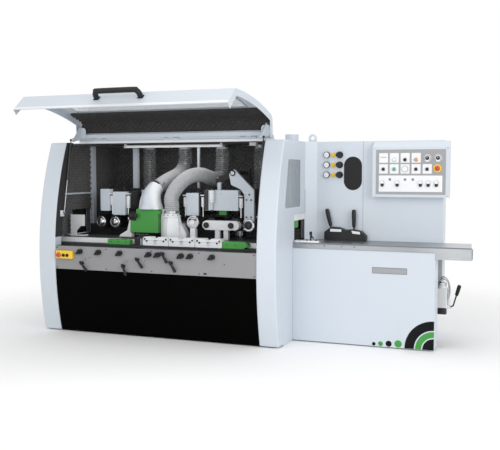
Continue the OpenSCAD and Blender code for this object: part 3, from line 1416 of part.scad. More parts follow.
// Ratchet clamp lever on its stud
module clamp_lever(i) {
    c = clamps[i];
    hub_r = 13;
    hub_l = 34;
    reach = 78;
    color(black_c) placed() translate([c[0], panel_y, c[1]]) difference() {
        union() {
            rod_y(-hub_l, -2, 0, 0, hub_r);
            translate([0, -hub_l + 9, 0]) rotate([0, 90 - c[2], 0]) {
                cylinder(h = reach, r1 = 8, r2 = 9.5);
                translate([0, 0, reach]) sphere(r = 9.5);
            }
        }
        rod_y(-clamp_stud_l - 1, 1, 0, 0, clamp_stud_r + running_fit);
    }
}
module clamp_lever_1() { clamp_lever(0); }
module clamp_lever_2() { clamp_lever(1); }
module clamp_lever_3() { clamp_lever(2); }
module clamp_lever_4() { clamp_lever(3); }
module clamp_lever_5() { clamp_lever(4); }

// Fluted pressure regulator knob on its stud
module regulator_knob(i) {
    r = 25;
    l = 44;
    flutes = 10;
    y1 = control_y - 8 - seat_gap;
    color(black_c) placed() translate([regulator_x, 0, gauge_zs[i]]) difference() {
        union() {
            rod_y(y1 - 12, y1, 0, 0, r + 3);
            rod_y(y1 - l, y1 - 11, 0, 0, r);
        }
        for (k = [0:flutes - 1]) rod_y(y1 - l - 1, y1 - 12, (r + 3) * cos(360 * k / flutes),
            (r + 3) * sin(360 * k / flutes), 6);
        rod_y(y1 - knob_stud_l - 1, y1 + 1, 0, 0, knob_stud_r + running_fit);
    }
}
module regulator_knob_1() { regulator_knob(0); }
module regulator_knob_2() { regulator_knob(1); }
module regulator_knob_3() { regulator_knob(2); }

base_frame();
machine_bed();
bed_tables();
fence_rail();
left_end_panel();
right_end_panel();
enclosure_shell();
sound_lining();
lower_front_panel();
adjuster_panel();
side_window();
infeed_cabinet();
control_cabinet();
console_box();
infeed_table();
lever_quadrant();
pump_body();
extraction_hoses();
top_head_cover();
suction_ducts();
side_head_hood();
feed_beam();
roller_housings();
air_cylinders();
pressure_bar();
chip_guards();
work_lamp();
panel_instruments();
estop_box();
spindle_motors();
position_indicators();
hood_shell();
hood_window();
hood_lining();
hood_handle();
strut_cylinders();
strut_rods();
bottom_spindle_1();
right_spindle();
left_spindle();
top_spindle();
bottom_spindle_2();
feed_roller_1();
feed_roller_2();
feed_roller_3();
feed_roller_4();
feed_roller_5();
table_lever();
fence_lever();
pump_lever();
front_estop();
console_estop();
clamp_lever_1();
clamp_lever_2();
clamp_lever_3();
clamp_lever_4();
clamp_lever_5();
regulator_knob_1();
regulator_knob_2();
regulator_knob_3();
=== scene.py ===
"""Looks of a four sided moulder: paints, hoses, sound foam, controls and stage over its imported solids."""

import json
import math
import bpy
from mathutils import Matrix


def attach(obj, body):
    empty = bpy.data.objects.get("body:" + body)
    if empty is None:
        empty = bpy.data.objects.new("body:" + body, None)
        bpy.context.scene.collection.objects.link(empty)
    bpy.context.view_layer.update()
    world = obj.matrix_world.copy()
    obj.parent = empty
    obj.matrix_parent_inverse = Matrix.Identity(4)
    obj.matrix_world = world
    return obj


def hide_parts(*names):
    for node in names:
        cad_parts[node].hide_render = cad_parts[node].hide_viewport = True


bl_info = {
    "name": "Four sided moulder",
    "version": (1, 0, 0),
    "blender": (4, 5, 0),
    "location": "View3D > Sidebar > Moulder",
    "description": "Dresses a four sided moulder with finishes and fine pieces",
    "category": "Object",
}

import bmesh
import bpy
from mathutils import Vector

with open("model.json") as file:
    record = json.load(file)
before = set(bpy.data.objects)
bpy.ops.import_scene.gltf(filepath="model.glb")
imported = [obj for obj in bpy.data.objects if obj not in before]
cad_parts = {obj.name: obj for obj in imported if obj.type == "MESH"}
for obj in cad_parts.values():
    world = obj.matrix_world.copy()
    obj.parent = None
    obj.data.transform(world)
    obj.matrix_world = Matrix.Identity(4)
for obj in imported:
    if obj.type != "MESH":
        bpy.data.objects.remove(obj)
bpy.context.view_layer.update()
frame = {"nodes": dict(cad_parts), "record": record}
NODES = frame["nodes"]

# Machine millimetres run from the enclosure's left face, the lower cabinet's front and the floor
ORIGIN = Vector((1.8835, 0.261, 0.0))
MACHINE = "machine"
FINISH = {}
# Edges above this angle in degrees stay sharp
SHARP = 34
# Heights of the tables, the roof, the end panels' feet and the feed rollers' axes
TABLE_Z, ROOF_Z, PANEL_FOOT_Z, FEED_Z = 850, 1718, 10, 978
# Circle of the end panels' curved rims, and the rims' depth
RIM_Y, RIM_Z, RIM_RADIUS, RIM_DEPTH = 2262, 670, 2700, 108
# Hood's hinge, and its turn from shut to open in degrees
HINGE_Y, HINGE_Z, HOOD_TURN = -25, 1748, 86
# Tops of the hoses: the first one, the step to the next and their depth
HOSE_X, HOSE_STEP, HOSE_Y = 553, 398, 650
# Suction elbow: its foot, bend, turn about the vertical, mouth and direction there
ELBOW_X, ELBOW_Y, ELBOW_RADIUS = 900, -5, 170
ELBOW_BEND, ELBOW_TURN = math.radians(65), math.radians(18)
ELBOW_END = (ELBOW_X + ELBOW_RADIUS * (1 - math.cos(ELBOW_BEND)) * math.sin(ELBOW_TURN),
             ELBOW_Y + ELBOW_RADIUS * (1 - math.cos(ELBOW_BEND)) * math.cos(ELBOW_TURN),
             1112 + 40 + ELBOW_RADIUS * math.sin(ELBOW_BEND))
ELBOW_DIR = (math.sin(ELBOW_BEND) * math.sin(ELBOW_TURN), math.sin(ELBOW_BEND) * math.cos(ELBOW_TURN),
             math.cos(ELBOW_BEND))
# Directions, and the faces between two rings of four corners
FRONT, UP = (0, -1, 0), (0, 0, 1)
BOX_FACES = [(0, 1, 2, 3), (4, 5, 6, 7), (0, 1, 5, 4), (1, 2, 6, 5), (2, 3, 7, 6), (3, 0, 4, 7)]


def at(x, y, z):
    """A point in machine millimetres as metres in the part's frame."""
    return Vector((x / 1000, y / 1000, z / 1000)) - ORIGIN


def rim_y(z, inset=0.0):
    """Front of the curved rim at a height, in machine millimetres."""
    return RIM_Y - math.sqrt((RIM_RADIUS - inset) ** 2 - (z - RIM_Z) ** 2)


# Properties


def colour(name, text, value):
    """Colour setting."""
    return bpy.props.FloatVectorProperty(name=name, description=text, default=value, subtype="COLOR", min=0, max=1)


def length(name, text, value):
    """Length setting in metres."""
    return bpy.props.FloatProperty(name=name, description=text, default=value, unit="LENGTH", min=0)


class MoulderColours(bpy.types.PropertyGroup):
    """Colours of the machine's paints and plastics."""

    panel: colour("Panels", "Grey-blue paint of the enclosure and cabinets", (0.60, 0.654, 0.716))
    grey: colour("Adjuster panel", "Grey paint of the adjuster panel", (0.275, 0.275, 0.285))
    black: colour("Black paint", "Paint of the lower front panel", (0.0012, 0.0011, 0.0010))
    white: colour("White enamel", "Enamel of castings and guards", (0.80, 0.82, 0.84))
    green: colour("Green enamel", "Enamel of the cutter guards", (0.040, 0.30, 0.040))
    yellow: colour("Yellow", "Emergency stop box and number discs", (0.91, 0.58, 0.03))
    red: colour("Red", "Emergency stop buttons", (0.58, 0.035, 0.02))
    foam: colour("Foam", "Sound foam", (0.050, 0.047, 0.047))
    hose: colour("Hose", "Clear ribbed extraction hose", (0.47, 0.485, 0.495))
    plastic: colour("Black plastic", "Knobs, levers and grips", (0.012, 0.012, 0.013))


class MoulderSizes(bpy.types.PropertyGroup):
    """Sizes of the fine pieces."""

    rim_round: length("Rim edge", "Radius of the rims' rounded edges", 0.012)
    foam_cell: length("Foam cell", "Pitch of the foam's bumps", 0.052)
    foam_depth: length("Foam depth", "Height of the foam's bumps", 0.013)
    hose_radius: length("Hose radius", "Radius of the hoses between ribs", 0.0622)
    hose_rib: length("Hose rib", "Height of the hose's ribs", 0.0058)
    hose_pitch: length("Rib pitch", "Distance between the hose's ribs", 0.0185)
    screw_radius: length("Screw", "Radius of the panel and table screws", 0.0055)


class MoulderSettings(bpy.types.PropertyGroup):
    """Everything a user would change on the machine's looks."""

    colours: bpy.props.PointerProperty(type=MoulderColours)
    sizes: bpy.props.PointerProperty(type=MoulderSizes)


def colours():
    """The scene's colour settings."""
    return bpy.context.scene.moulder.colours


def sizes():
    """The scene's size settings."""
    return bpy.context.scene.moulder.sizes


# Node groups


def node_tree(name, kind, inputs, outputs):
    """A node group with sockets given as (type, names), and its input and output nodes."""
    tree = bpy.data.node_groups.new(name, kind + "NodeTree")
    for way, rows in (("INPUT", inputs), ("OUTPUT", outputs)):
        for socket, labels in rows:
            for label in labels.split():
                tree.interface.new_socket(label, in_out=way, socket_type="NodeSocket" + socket)
    return tree, tree.nodes.new("NodeGroupInput"), tree.nodes.new("NodeGroupOutput")


def preset(node, **values):
    """Set a node's sockets by name, with underscores for spaces."""
    for socket, value in values.items():
        node.inputs[socket.replace("_", " ")].default_value = value


def maths(tree, operation, *values):
    """Maths node in a tree, fed with numbers or sockets."""
    node = tree.nodes.new("ShaderNodeMath")
    node.operation = operation
    for socket, value in zip(node.inputs, values):
        if isinstance(value, (int, float)):
            socket.default_value = value
        else:
            tree.links.new(value, socket)
    return node.outputs[0]


# Finishes


def surface_variation():
    """Shader group: cloudy tone, roughness and fine grain over the surface, stretched for ground metal."""
    group, given, out = node_tree("surface_variation", "Shader", [
        ("Color", "Color"), ("Float", "Spread Scale Roughness Grain"), ("Vector", "Stretch")],
        [("Color", "Color"), ("Float", "Roughness Height")])
    make, link = group.nodes.new, group.links.new
    coords, mapping = make("ShaderNodeTexCoord"), make("ShaderNodeMapping")
    link(coords.outputs["Object"], mapping.inputs["Vector"])
    link(given.outputs["Stretch"], mapping.inputs["Scale"])
    cloud, grain = make("ShaderNodeTexNoise"), make("ShaderNodeTexNoise")
    preset(cloud, Detail=4)
    link(mapping.outputs["Vector"], cloud.inputs["Vector"])
    link(given.outputs["Scale"], cloud.inputs["Scale"])
    link(mapping.outputs["Vector"], grain.inputs["Vector"])
    link(maths(group, "MULTIPLY", given.outputs["Scale"], 40), grain.inputs["Scale"])
    centred = maths(group, "SUBTRACT", cloud.outputs["Fac"], 0.5)
    tone = maths(group, "ADD", maths(group, "MULTIPLY", centred, given.outputs["Spread"]), 1.0)
    tinted = make("ShaderNodeVectorMath")
    tinted.operation = "SCALE"
    link(given.outputs["Color"], tinted.inputs[0])
    link(tone, tinted.inputs["Scale"])
    link(tinted.outputs[0], out.inputs["Color"])
    rough = maths(group, "ADD", maths(group, "MULTIPLY", centred, 0.18), given.outputs["Roughness"])
    link(rough, out.inputs["Roughness"])
    link(maths(group, "MULTIPLY", grain.outputs["Fac"], given.outputs["Grain"]), out.inputs["Height"])
    return group


def axis_fade():
    """Shader group: a mask that rises from 0 to 1 along a direction, between two distances in metres."""
    group, given, out = node_tree("axis_fade", "Shader", [("Vector", "Direction"), ("Float", "From To")],
                                  [("Float", "Mask")])
    make, link = group.nodes.new, group.links.new
    coords, along, fade = (make("ShaderNode" + kind) for kind in ("TexCoord", "VectorMath", "MapRange"))
    along.operation = "DOT_PRODUCT"
    link(coords.outputs["Object"], along.inputs[0])
    link(given.outputs["Direction"], along.inputs[1])
    link(along.outputs["Value"], fade.inputs["Value"])
    link(given.outputs["From"], fade.inputs["From Min"])
    link(given.outputs["To"], fade.inputs["From Max"])
    link(fade.outputs["Result"], out.inputs["Mask"])
    return group


def fade_mask(mat, direction, start, end):
    """Mask of the fade group in a material, between two distances in metres."""
    node = mat.node_tree.nodes.new("ShaderNodeGroup")
    node.node_tree = bpy.data.node_groups["axis_fade"]
    preset(node, Direction=direction, From=start, To=end)
    return node.outputs["Mask"]


def two_tone(name, near, far, mask, **rest):
    """A finish that changes colour where a mask built on it is 1."""
    mat = finish(name, near, **rest)
    nodes, link = mat.node_tree.nodes, mat.node_tree.links.new
    mix = nodes.new("ShaderNodeMix")
    mix.data_type = "RGBA"
    sockets = {socket.identifier: socket for socket in mix.inputs}
    sockets["A_Color"].default_value = (*near, 1)
    sockets["B_Color"].default_value = (*far, 1)
    link(mask(mat), sockets["Factor_Float"])
    group = next(n for n in nodes if n.type == "GROUP" and n.node_tree.name == "surface_variation")
    link(next(o for o in mix.outputs if o.identifier == "Result_Color"), group.inputs["Color"])
    return mat


def hose_finish(tone):
    """Clear ribbed hose: milky near the front, banded and seen through further back, which paints the back hoses
    darker as shade; a painted highlight line runs down the middle of the back hoses.
    """
    mat = finish("hose", tone, 0.3, spread=0.12, scale=18, grain=0.2, coat=0.3)
    tree = mat.node_tree
    back = fade_mask(mat, (0, 1, 0), 0.10, 0.36)
    coords, noise = tree.nodes.new("ShaderNodeTexCoord"), tree.nodes.new("ShaderNodeTexNoise")
    preset(noise, Scale=34, Detail=3)
    tree.links.new(coords.outputs["Object"], noise.inputs["Vector"])
    # Painted shade: the back hoses are made see-through, so they show darker than the milky front one
    milky = maths(tree, "SUBTRACT", 0.84, maths(tree, "MULTIPLY", back, 0.74))
    crinkle = maths(tree, "MULTIPLY", maths(tree, "SUBTRACT", noise.outputs["Fac"], 0.5), 0.12)
    edge = tree.nodes.new("ShaderNodeLayerWeight")
    preset(edge, Blend=0.4)
    rim = maths(tree, "MULTIPLY", edge.outputs["Facing"], 0.28)
    ribs = tree.nodes.new("ShaderNodeTexWave")
    ribs.bands_direction = "Z"
    preset(ribs, Scale=15.7)
    tree.links.new(coords.outputs["Object"], ribs.inputs["Vector"])
    band = maths(tree, "MULTIPLY", maths(tree, "SUBTRACT", ribs.outputs["Fac"], 0.5),
                 maths(tree, "MULTIPLY", back, 0.2))
    # Painted highlight: a bright line down the middle of each back hose
    toward = maths(tree, "POWER", maths(tree, "SUBTRACT", 1.0, edge.outputs["Facing"]), 80.0)
    painted_highlight = maths(tree, "MULTIPLY", toward, maths(tree, "MULTIPLY", back, 0.6))
    alpha = milky
    for part in (crinkle, rim, band, painted_highlight):
        alpha = maths(tree, "ADD", alpha, part)
    tree.links.new(alpha, tree.nodes["Principled BSDF"].inputs["Alpha"])
    return mat


def finish(name, tone, rough, metal=0.0, spread=0.06, scale=3.0, grain=0.0, stretch=(1, 1, 1), coat=0.0, **plain):
    """A material whose tone, roughness and grain come from the shared variation group."""
    mat = bpy.data.materials.new(name)
    mat.use_nodes = True
    nodes, link = mat.node_tree.nodes, mat.node_tree.links.new
    shader = nodes["Principled BSDF"]
    group = nodes.new("ShaderNodeGroup")
    group.node_tree = bpy.data.node_groups["surface_variation"]
    preset(group, Color=(*tone, 1), Spread=spread, Scale=scale, Roughness=rough, Grain=grain, Stretch=stretch)
    link(group.outputs["Color"], shader.inputs["Base Color"])
    link(group.outputs["Roughness"], shader.inputs["Roughness"])
    if grain:
        bump = nodes.new("ShaderNodeBump")
        preset(bump, Strength=0.5, Distance=0.001)
        link(group.outputs["Height"], bump.inputs["Height"])
        link(bump.outputs["Normal"], shader.inputs["Normal"])
    preset(shader, Metallic=metal, Coat_Weight=coat, **plain)
    mat.diffuse_color = (*tone, 1)
    FINISH[name] = mat
    return mat


class MOULDER_OT_finishes(bpy.types.Operator):
    """Make the paints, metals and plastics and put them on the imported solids"""

    bl_idname = "moulder.finishes"
    bl_label = "Finishes"

    def execute(self, context):
        surface_variation()
        axis_fade()
        c = colours()
        finish("panel_paint", c.panel, 0.42, spread=0.05, scale=1.4, grain=0.25, coat=0.12)
        finish("grey_paint", c.grey, 0.5, spread=0.08, grain=0.3)
        finish("black_paint", c.black, 0.6, spread=0.2, grain=0.2, Specular_IOR_Level=0.02)
        finish("white_paint", c.white, 0.4, spread=0.06, scale=6, grain=0.3)
        finish("green_paint", c.green, 0.38, spread=0.12, scale=5, grain=0.2, coat=0.15)
        finish("yellow_paint", c.yellow, 0.42, spread=0.06)
        finish("steel", (0.42, 0.44, 0.46), 0.36, metal=1.0, spread=0.2, scale=4, grain=0.15, stretch=(1, 30, 30))
        finish("dark_steel", (0.045, 0.045, 0.048), 0.42, metal=0.6, spread=0.3, scale=8, grain=0.3)
        finish("strut_grey", (0.05, 0.05, 0.052), 0.35, metal=0.3, spread=0.15, scale=8)
        finish("chrome_rod", (0.56, 0.57, 0.59), 0.16, metal=1.0, spread=0.05)
        finish("cast", (0.036, 0.036, 0.038), 0.6, spread=0.3, scale=6, grain=0.6, Specular_IOR_Level=0.25)
        finish("foam", c.foam, 0.95, spread=0.5, scale=12, grain=1.5, Specular_IOR_Level=0.1)
        # Painted light: the same sound foam in a lighter tone where it lines the walls
        finish("lit_wall_foam", (0.112, 0.110, 0.109), 0.95, spread=0.5, scale=12, grain=1.5, Specular_IOR_Level=0.1)
        finish("black_plastic", c.plastic, 0.42, spread=0.25, scale=10, grain=0.3, Specular_IOR_Level=0.3)
        finish("red_plastic", c.red, 0.32, spread=0.08, coat=0.3)
        finish("face_white", (0.84, 0.85, 0.86), 0.45, spread=0.03)
        finish("face_silver", (0.34, 0.34, 0.35), 0.42, spread=0.08, stretch=(1, 1, 40))
        finish("lamp_green", (0.02, 0.33, 0.14), 0.3, spread=0.1, coat=0.4)
        finish("lamp_orange", (0.80, 0.20, 0.02), 0.3, spread=0.1, coat=0.4)
        finish("seam", (0.20, 0.22, 0.25), 0.7, spread=0.1)
        finish("gloss_black", (0.005, 0.005, 0.006), 0.22, spread=0.2, Specular_IOR_Level=0.15)
        finish("tube_light", (0.9, 0.92, 0.95), 0.3, spread=0.02, Emission_Color=(1, 1, 1, 1), Emission_Strength=0.12)
        hose_finish(c.hose)
        # Ground table tops are dark over white castings, and the gearboxes' sides behind their painted covers are
        # darkened as painted shade
        two_tone("table_enamel", c.white, (0.06, 0.06, 0.062), lambda mat: maths(
            mat.node_tree, "MULTIPLY", fade_mask(mat, (0, 0, 1), 0.8490, 0.8493),
            fade_mask(mat, (0, 0, -1), -0.8508, -0.8505)), rough=0.38, spread=0.1, scale=6, grain=0.3)
        # Painted shade: the gearbox housings turn near black behind their front covers
        two_tone("cover_paint_shaded_sides", c.panel, (0.03, 0.03, 0.032), lambda mat: fade_mask(mat, (0, 1, 0), -0.136, -0.132),
                 rough=0.42, spread=0.06, scale=3, grain=0.25)
        # Painted reflection: the infeed table's steel turns lighter towards its far end
        two_tone("table_steel_painted_reflection", (0.29, 0.305, 0.32), (0.50, 0.52, 0.54),
                 lambda mat: fade_mask(mat, (1, 0, 0), 1.40, 1.75),
                 rough=0.34, metal=1.0, spread=0.1, scale=4, grain=0.15, stretch=(1, 30, 30))
        finish("clear", (0.50, 0.56, 0.60), 0.08, spread=0.02, Alpha=0.42)
        # These solids differ from their slot's finish
        own = {"sound_lining": "lit_wall_foam", "bed_tables": "table_enamel", "roller_housings": "cover_paint_shaded_sides",
               "strut_rods": "steel", "infeed_table": "table_steel_painted_reflection"}
        for entry in frame["record"]["subparts"]:
            node = NODES[entry["node"]]
            node.data.materials.clear()
            node.data.materials.append(FINISH[own.get(entry["node"], entry["material_slot"])])
        return {"FINISHED"}


# Mesh building


def circle(mid, side, other, r, sides):
    """Points of a circle about mid, in the plane of two unit vectors."""
    turns = [2 * math.pi * k / sides for k in range(sides)]
    return [mid + (side * math.cos(t) + other * math.sin(t)) * r for t in turns]


class Form:
    """Simple solids gathered into one mesh, in machine millimetres."""

    def __init__(self):
        self.points, self.faces, self.paints = [], [], []

    def add(self, points, faces, paint):
        """Points and faces of one paint."""
        base = len(self.points)
        self.points += [at(*p) for p in points]
        self.faces += [[base + i for i in f] for f in faces]
        self.paints += [paint] * len(faces)

    def block(self, low, high, paint):
        """Box between two corners."""
        (a, b, c), (d, e, f) = low, high
        corners = [(x, y, z) for x in (a, d) for y in (b, e) for z in (c, f)]
        faces = [(0, 1, 3, 2), (4, 6, 7, 5), (0, 4, 5, 1), (2, 3, 7, 6), (0, 2, 6, 4), (1, 5, 7, 3)]
        self.add(corners, faces, paint)

    def prism(self, outline, axis, a, b, paint):
        """Outline extruded along an axis: x takes (y, z) points, y takes (x, z), z takes (x, y)."""
        n, slot = len(outline), "xyz".index(axis)
        points = [(*p[:slot], d, *p[slot:]) for d in (a, b) for p in outline]
        sides = [(i, (i + 1) % n, n + (i + 1) % n, n + i) for i in range(n)]
        self.add(points, [tuple(range(n - 1, -1, -1)), tuple(range(n, 2 * n))] + sides, paint)

    def lathe(self, foot, axis, profile, paint, sides):
        """Profile of (radius, height) pairs turned about an axis through foot; the ends are closed."""
        along = Vector(axis).normalized()
        side = along.orthogonal().normalized()
        other = along.cross(side)
        self.loft([circle(Vector(foot) + along * h, side, other, r, sides) for r, h in profile], paint)

    def tube(self, path, r, paint, sides):
        """Round bar along a path of points, closed at both ends."""
        path = [Vector(p) for p in path]
        rings, side = [], None
        for i, p in enumerate(path):
            along = (path[min(i + 1, len(path) - 1)] - path[max(i - 1, 0)]).normalized()
            side = along.orthogonal() if side is None else side - along * side.dot(along)
            side.normalize()
            rings.append(circle(p, side, along.cross(side), r, sides))
        self.loft(rings, paint)

    def loft(self, rings, paint):
        """Skin over rings of points that have the same count, closed at both ends."""
        n = len(rings[0])
        faces = [tuple(range(n))]
        for i in range(len(rings) - 1):
            faces += [(i * n + k, i * n + (k + 1) % n, (i + 1) * n + (k + 1) % n, (i + 1) * n + k) for k in range(n)]
        faces.append(tuple(range((len(rings) - 1) * n, len(rings) * n)))
        self.add([tuple(p) for ring in rings for p in ring], faces, paint)

    def mesh(self, name):
        """Mesh of all solids, with a material for each paint."""
        mesh = bpy.data.meshes.new(name)
        mesh.from_pydata(self.points, [], self.faces)
        order = list(dict.fromkeys(self.paints))
        for paint in order:
            mesh.materials.append(FINISH[paint])
        mesh.polygons.foreach_set("material_index", [order.index(p) for p in self.paints])
        work = bmesh.new()
        work.from_mesh(mesh)
        bmesh.ops.recalc_face_normals(work, faces=work.faces)
        work.to_mesh(mesh)
        work.free()
        smooth(mesh)
        return mesh


def smooth(mesh, sharp=SHARP):
    """Smooth shading with edges kept sharp above an angle in degrees."""
    mesh.polygons.foreach_set("use_smooth", [True] * len(mesh.polygons))
    mesh.set_sharp_from_angle(angle=math.radians(sharp))


def placed(name, data):
    """New object of the scene."""
    obj = bpy.data.objects.new(name, data)
    bpy.context.scene.collection.objects.link(obj)
    return obj


def evaluated(obj):
    """Plain mesh of an object with its modifiers applied."""
    bpy.context.view_layer.update()
    depsgraph = bpy.context.evaluated_depsgraph_get()
    return bpy.data.meshes.new_from_object(obj.evaluated_get(depsgraph), depsgraph=depsgraph)


def piece(name, form, slot, body=MACHINE, bevel=0.0, segments=2, hides=()):
    """Turn a form into an object that rides on a body and may stand for solids."""
    obj = placed(name, form.mesh(name) if isinstance(form, Form) else form)
    if bevel:
        edge = obj.modifiers.new("edge_round", "BEVEL")
        edge.width = bevel
        edge.segments = segments
        edge.limit_method = "ANGLE"
        edge.angle_limit = math.radians(40)
        edge.harden_normals = True
    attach(obj, body)
    if hides:
        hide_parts(*hides)
    return obj


def boxes(name, slot, paint, corners, **look):
    """Piece of one paint, made of blocks that are given by their low and high corners."""
    form = Form()
    for low, high in corners:
        form.block(low, high, paint)
    piece(name, form, slot, **look)


def tilt(degrees):
    """Upright direction, leaned towards +X."""
    return math.sin(math.radians(degrees)), 0, math.cos(math.radians(degrees))


def arc(cx, cy, r, a0, a1, n):
    """Points of an arc in degrees."""
    turns = [math.radians(a0 + (a1 - a0) * i / n) for i in range(n + 1)]
    return [(cx + r * math.cos(t), cy + r * math.sin(t)) for t in turns]


def oval(cx, cy, half, r, n):
    """Upright slot: half circles above and below the middle."""
    return arc(cx, cy + half, r, 0, 180, n) + arc(cx, cy - half, r, 180, 360, n)


def rounded(low, high, r, n=5):
    """Rectangle with rounded corners."""
    (a, b), (c, d) = low, high
    return (arc(c - r, d - r, r, 0, 90, n) + arc(a + r, d - r, r, 90, 180, n)
            + arc(a + r, b + r, r, 180, 270, n) + arc(c - r, b + r, r, 270, 360, n))


def soft_corners(points, r, n=5):
    """Polygon with its corners rounded."""
    out = []
    for i, b in enumerate(points):
        a, c = Vector(points[i - 1]), Vector(points[(i + 1) % len(points)])
        b = Vector(b)
        u, w = (a - b).normalized(), (c - b).normalized()
        half = u.angle(w) / 2
        mid = b + (u + w).normalized() * r / math.sin(half)
        p, q = b + u * r / math.tan(half), b + w * r / math.tan(half)
        for k in range(n + 1):
            d = (p - mid).lerp(q - mid, k / n).normalized() * r
            out.append(tuple(mid + d))
    return out


def cut(obj, form):
    """Take a form out of a piece for good."""
    tool = placed("cutter", form.mesh("cutter"))
    modifier = obj.modifiers.new("cut", "BOOLEAN")
    modifier.object = tool
    modifier.operation = "DIFFERENCE"
    mesh = evaluated(obj)
    obj.modifiers.remove(modifier)
    smooth(mesh)
    obj.data = mesh
    bpy.data.objects.remove(tool)


def smooth_path(points, steps):
    """Smooth curve through the points, as the hoses' routes run."""
    p = [Vector(q) for q in points]
    n = len(p) - 1
    out = []
    for i in range(n):
        a, b, c, d = p[max(i - 1, 0)], p[i], p[i + 1], p[min(i + 2, n)]
        for k in range(steps + (1 if i == n - 1 else 0)):
            t = k / steps
            point = 2 * b + (c - a) * t
            point += (2 * a - 5 * b + 4 * c - d) * t ** 2
            point += (3 * b - a - 3 * c + d) * t ** 3
            out.append(0.5 * point)
    return out


# Geometry Nodes


def grown(name, data, tree, values):
    """Plain mesh that a tree grows from a mesh or curve, with its inputs set by socket identifier."""
    source = placed(name + "_source", data)
    modifier = source.modifiers.new("grow", "NODES")
    modifier.node_group = tree
    for item in tree.interface.items_tree:
        if item.in_out == "INPUT" and item.name in values:
            modifier[item.identifier] = values[item.name]
    mesh = evaluated(source)
    mesh.name = name
    source.modifiers.remove(modifier)
    bpy.data.objects.remove(source)
    return mesh


def paint_out(tree, given, out, geometry):
    """Realize a tree's geometry, give it the tree's material and put it out."""
    realize, paint = tree.nodes.new("GeometryNodeRealizeInstances"), tree.nodes.new("GeometryNodeSetMaterial")
    tree.links.new(geometry, realize.inputs[0])
    tree.links.new(realize.outputs[0], paint.inputs["Geometry"])
    tree.links.new(given.outputs["Material"], paint.inputs["Material"])
    tree.links.new(paint.outputs[0], out.inputs[0])
    return tree


def growth(name, *inputs):
    """A geometry tree with a geometry and a material input, and named inputs between them."""
    shape = ("Geometry", "Geometry")
    return node_tree(name, "Geometry", [shape, *inputs, ("Material", "Material")], [shape])


def foam_tree():
    """Tree that raises rows of soft bumps along a direction from a flat sheet."""
    tree, given, out = growth("egg_crate_foam", ("Float", "Cell Depth"), ("Vector", "Across Up Out"))
    make, link = tree.nodes.new, tree.links.new
    where = make("GeometryNodeInputPosition")
    waves = []
    for name in ("Across", "Up"):
        dot = make("ShaderNodeVectorMath")
        dot.operation = "DOT_PRODUCT"
        link(where.outputs[0], dot.inputs[0])
        link(given.outputs[name], dot.inputs[1])
        turn = maths(tree, "MULTIPLY", maths(tree, "DIVIDE", dot.outputs["Value"], given.outputs["Cell"]),
                     2 * math.pi)
        waves.append(maths(tree, "SINE", turn))
    lift = maths(tree, "MULTIPLY", maths(tree, "ADD", maths(tree, "MULTIPLY", waves[0], waves[1]), 1.0),
                 given.outputs["Depth"])
    move = make("ShaderNodeVectorMath")
    move.operation = "SCALE"
    link(given.outputs["Out"], move.inputs[0])
    link(lift, move.inputs["Scale"])
    shift = make("GeometryNodeSetPosition")
    link(given.outputs["Geometry"], shift.inputs["Geometry"])
    link(move.outputs[0], shift.inputs["Offset"])
    return paint_out(tree, given, out, shift.outputs[0])


def hose_tree():
    """Tree that sweeps a ribbed wall along a curve."""
    tree, given, out = growth("ribbed_hose", ("Float", "Radius Rib Pitch"))
    make, link = tree.nodes.new, tree.links.new
    spread = make("GeometryNodeResampleCurve")
    spread.mode = "LENGTH"
    link(given.outputs["Geometry"], spread.inputs["Curve"])
    link(maths(tree, "DIVIDE", given.outputs["Pitch"], 4.0), spread.inputs["Length"])
    along = make("GeometryNodeSplineParameter")
    turn = maths(tree, "MULTIPLY", maths(tree, "DIVIDE", along.outputs["Length"], given.outputs["Pitch"]),
                 2 * math.pi)
    wave = maths(tree, "MULTIPLY", maths(tree, "ADD", maths(tree, "COSINE", turn), 1.0),
                 maths(tree, "MULTIPLY", given.outputs["Rib"], 0.5))
    radius = maths(tree, "ADD", given.outputs["Radius"], wave)
    profile = make("GeometryNodeCurvePrimitiveCircle")
    preset(profile, Resolution=28, Radius=1.0)
    sweep = make("GeometryNodeCurveToMesh")
    link(spread.outputs[0], sweep.inputs["Curve"])
    link(profile.outputs[0], sweep.inputs["Profile Curve"])
    link(radius, sweep.inputs["Scale"])
    return paint_out(tree, given, out, sweep.outputs[0])


def screw_tree():
    """Tree that sets a round screw head on each point, facing the point's normal."""
    tree, given, out = growth("screw_heads", ("Float", "Radius Height"), ("Rotation", "Turn"))
    make, link = tree.nodes.new, tree.links.new
    head, spread = make("GeometryNodeMeshCylinder"), make("GeometryNodeInstanceOnPoints")
    preset(head, Vertices=14)
    link(given.outputs["Radius"], head.inputs["Radius"])
    link(given.outputs["Height"], head.inputs["Depth"])
    link(given.outputs["Geometry"], spread.inputs["Points"])
    link(head.outputs["Mesh"], spread.inputs["Instance"])
    link(given.outputs["Turn"], spread.inputs["Rotation"])
    return paint_out(tree, given, out, spread.outputs[0])


def tree_named(name, builder):
    """Node tree that is made at its first use."""
    return bpy.data.node_groups.get(name) or builder()


def screws(name, points, paint, radius, height, turn=(math.pi / 2, 0, 0)):
    """Screw heads at machine points, lying along Y unless turned."""
    cloud = bpy.data.meshes.new(name + "_points")
    cloud.from_pydata([at(*p) for p in points], [], [])
    mesh = grown(name, cloud, tree_named("screw_heads", screw_tree), {
        "Radius": radius, "Height": height, "Turn": turn, "Material": FINISH[paint]})
    smooth(mesh)
    piece(name, mesh, "steel")


# Pieces


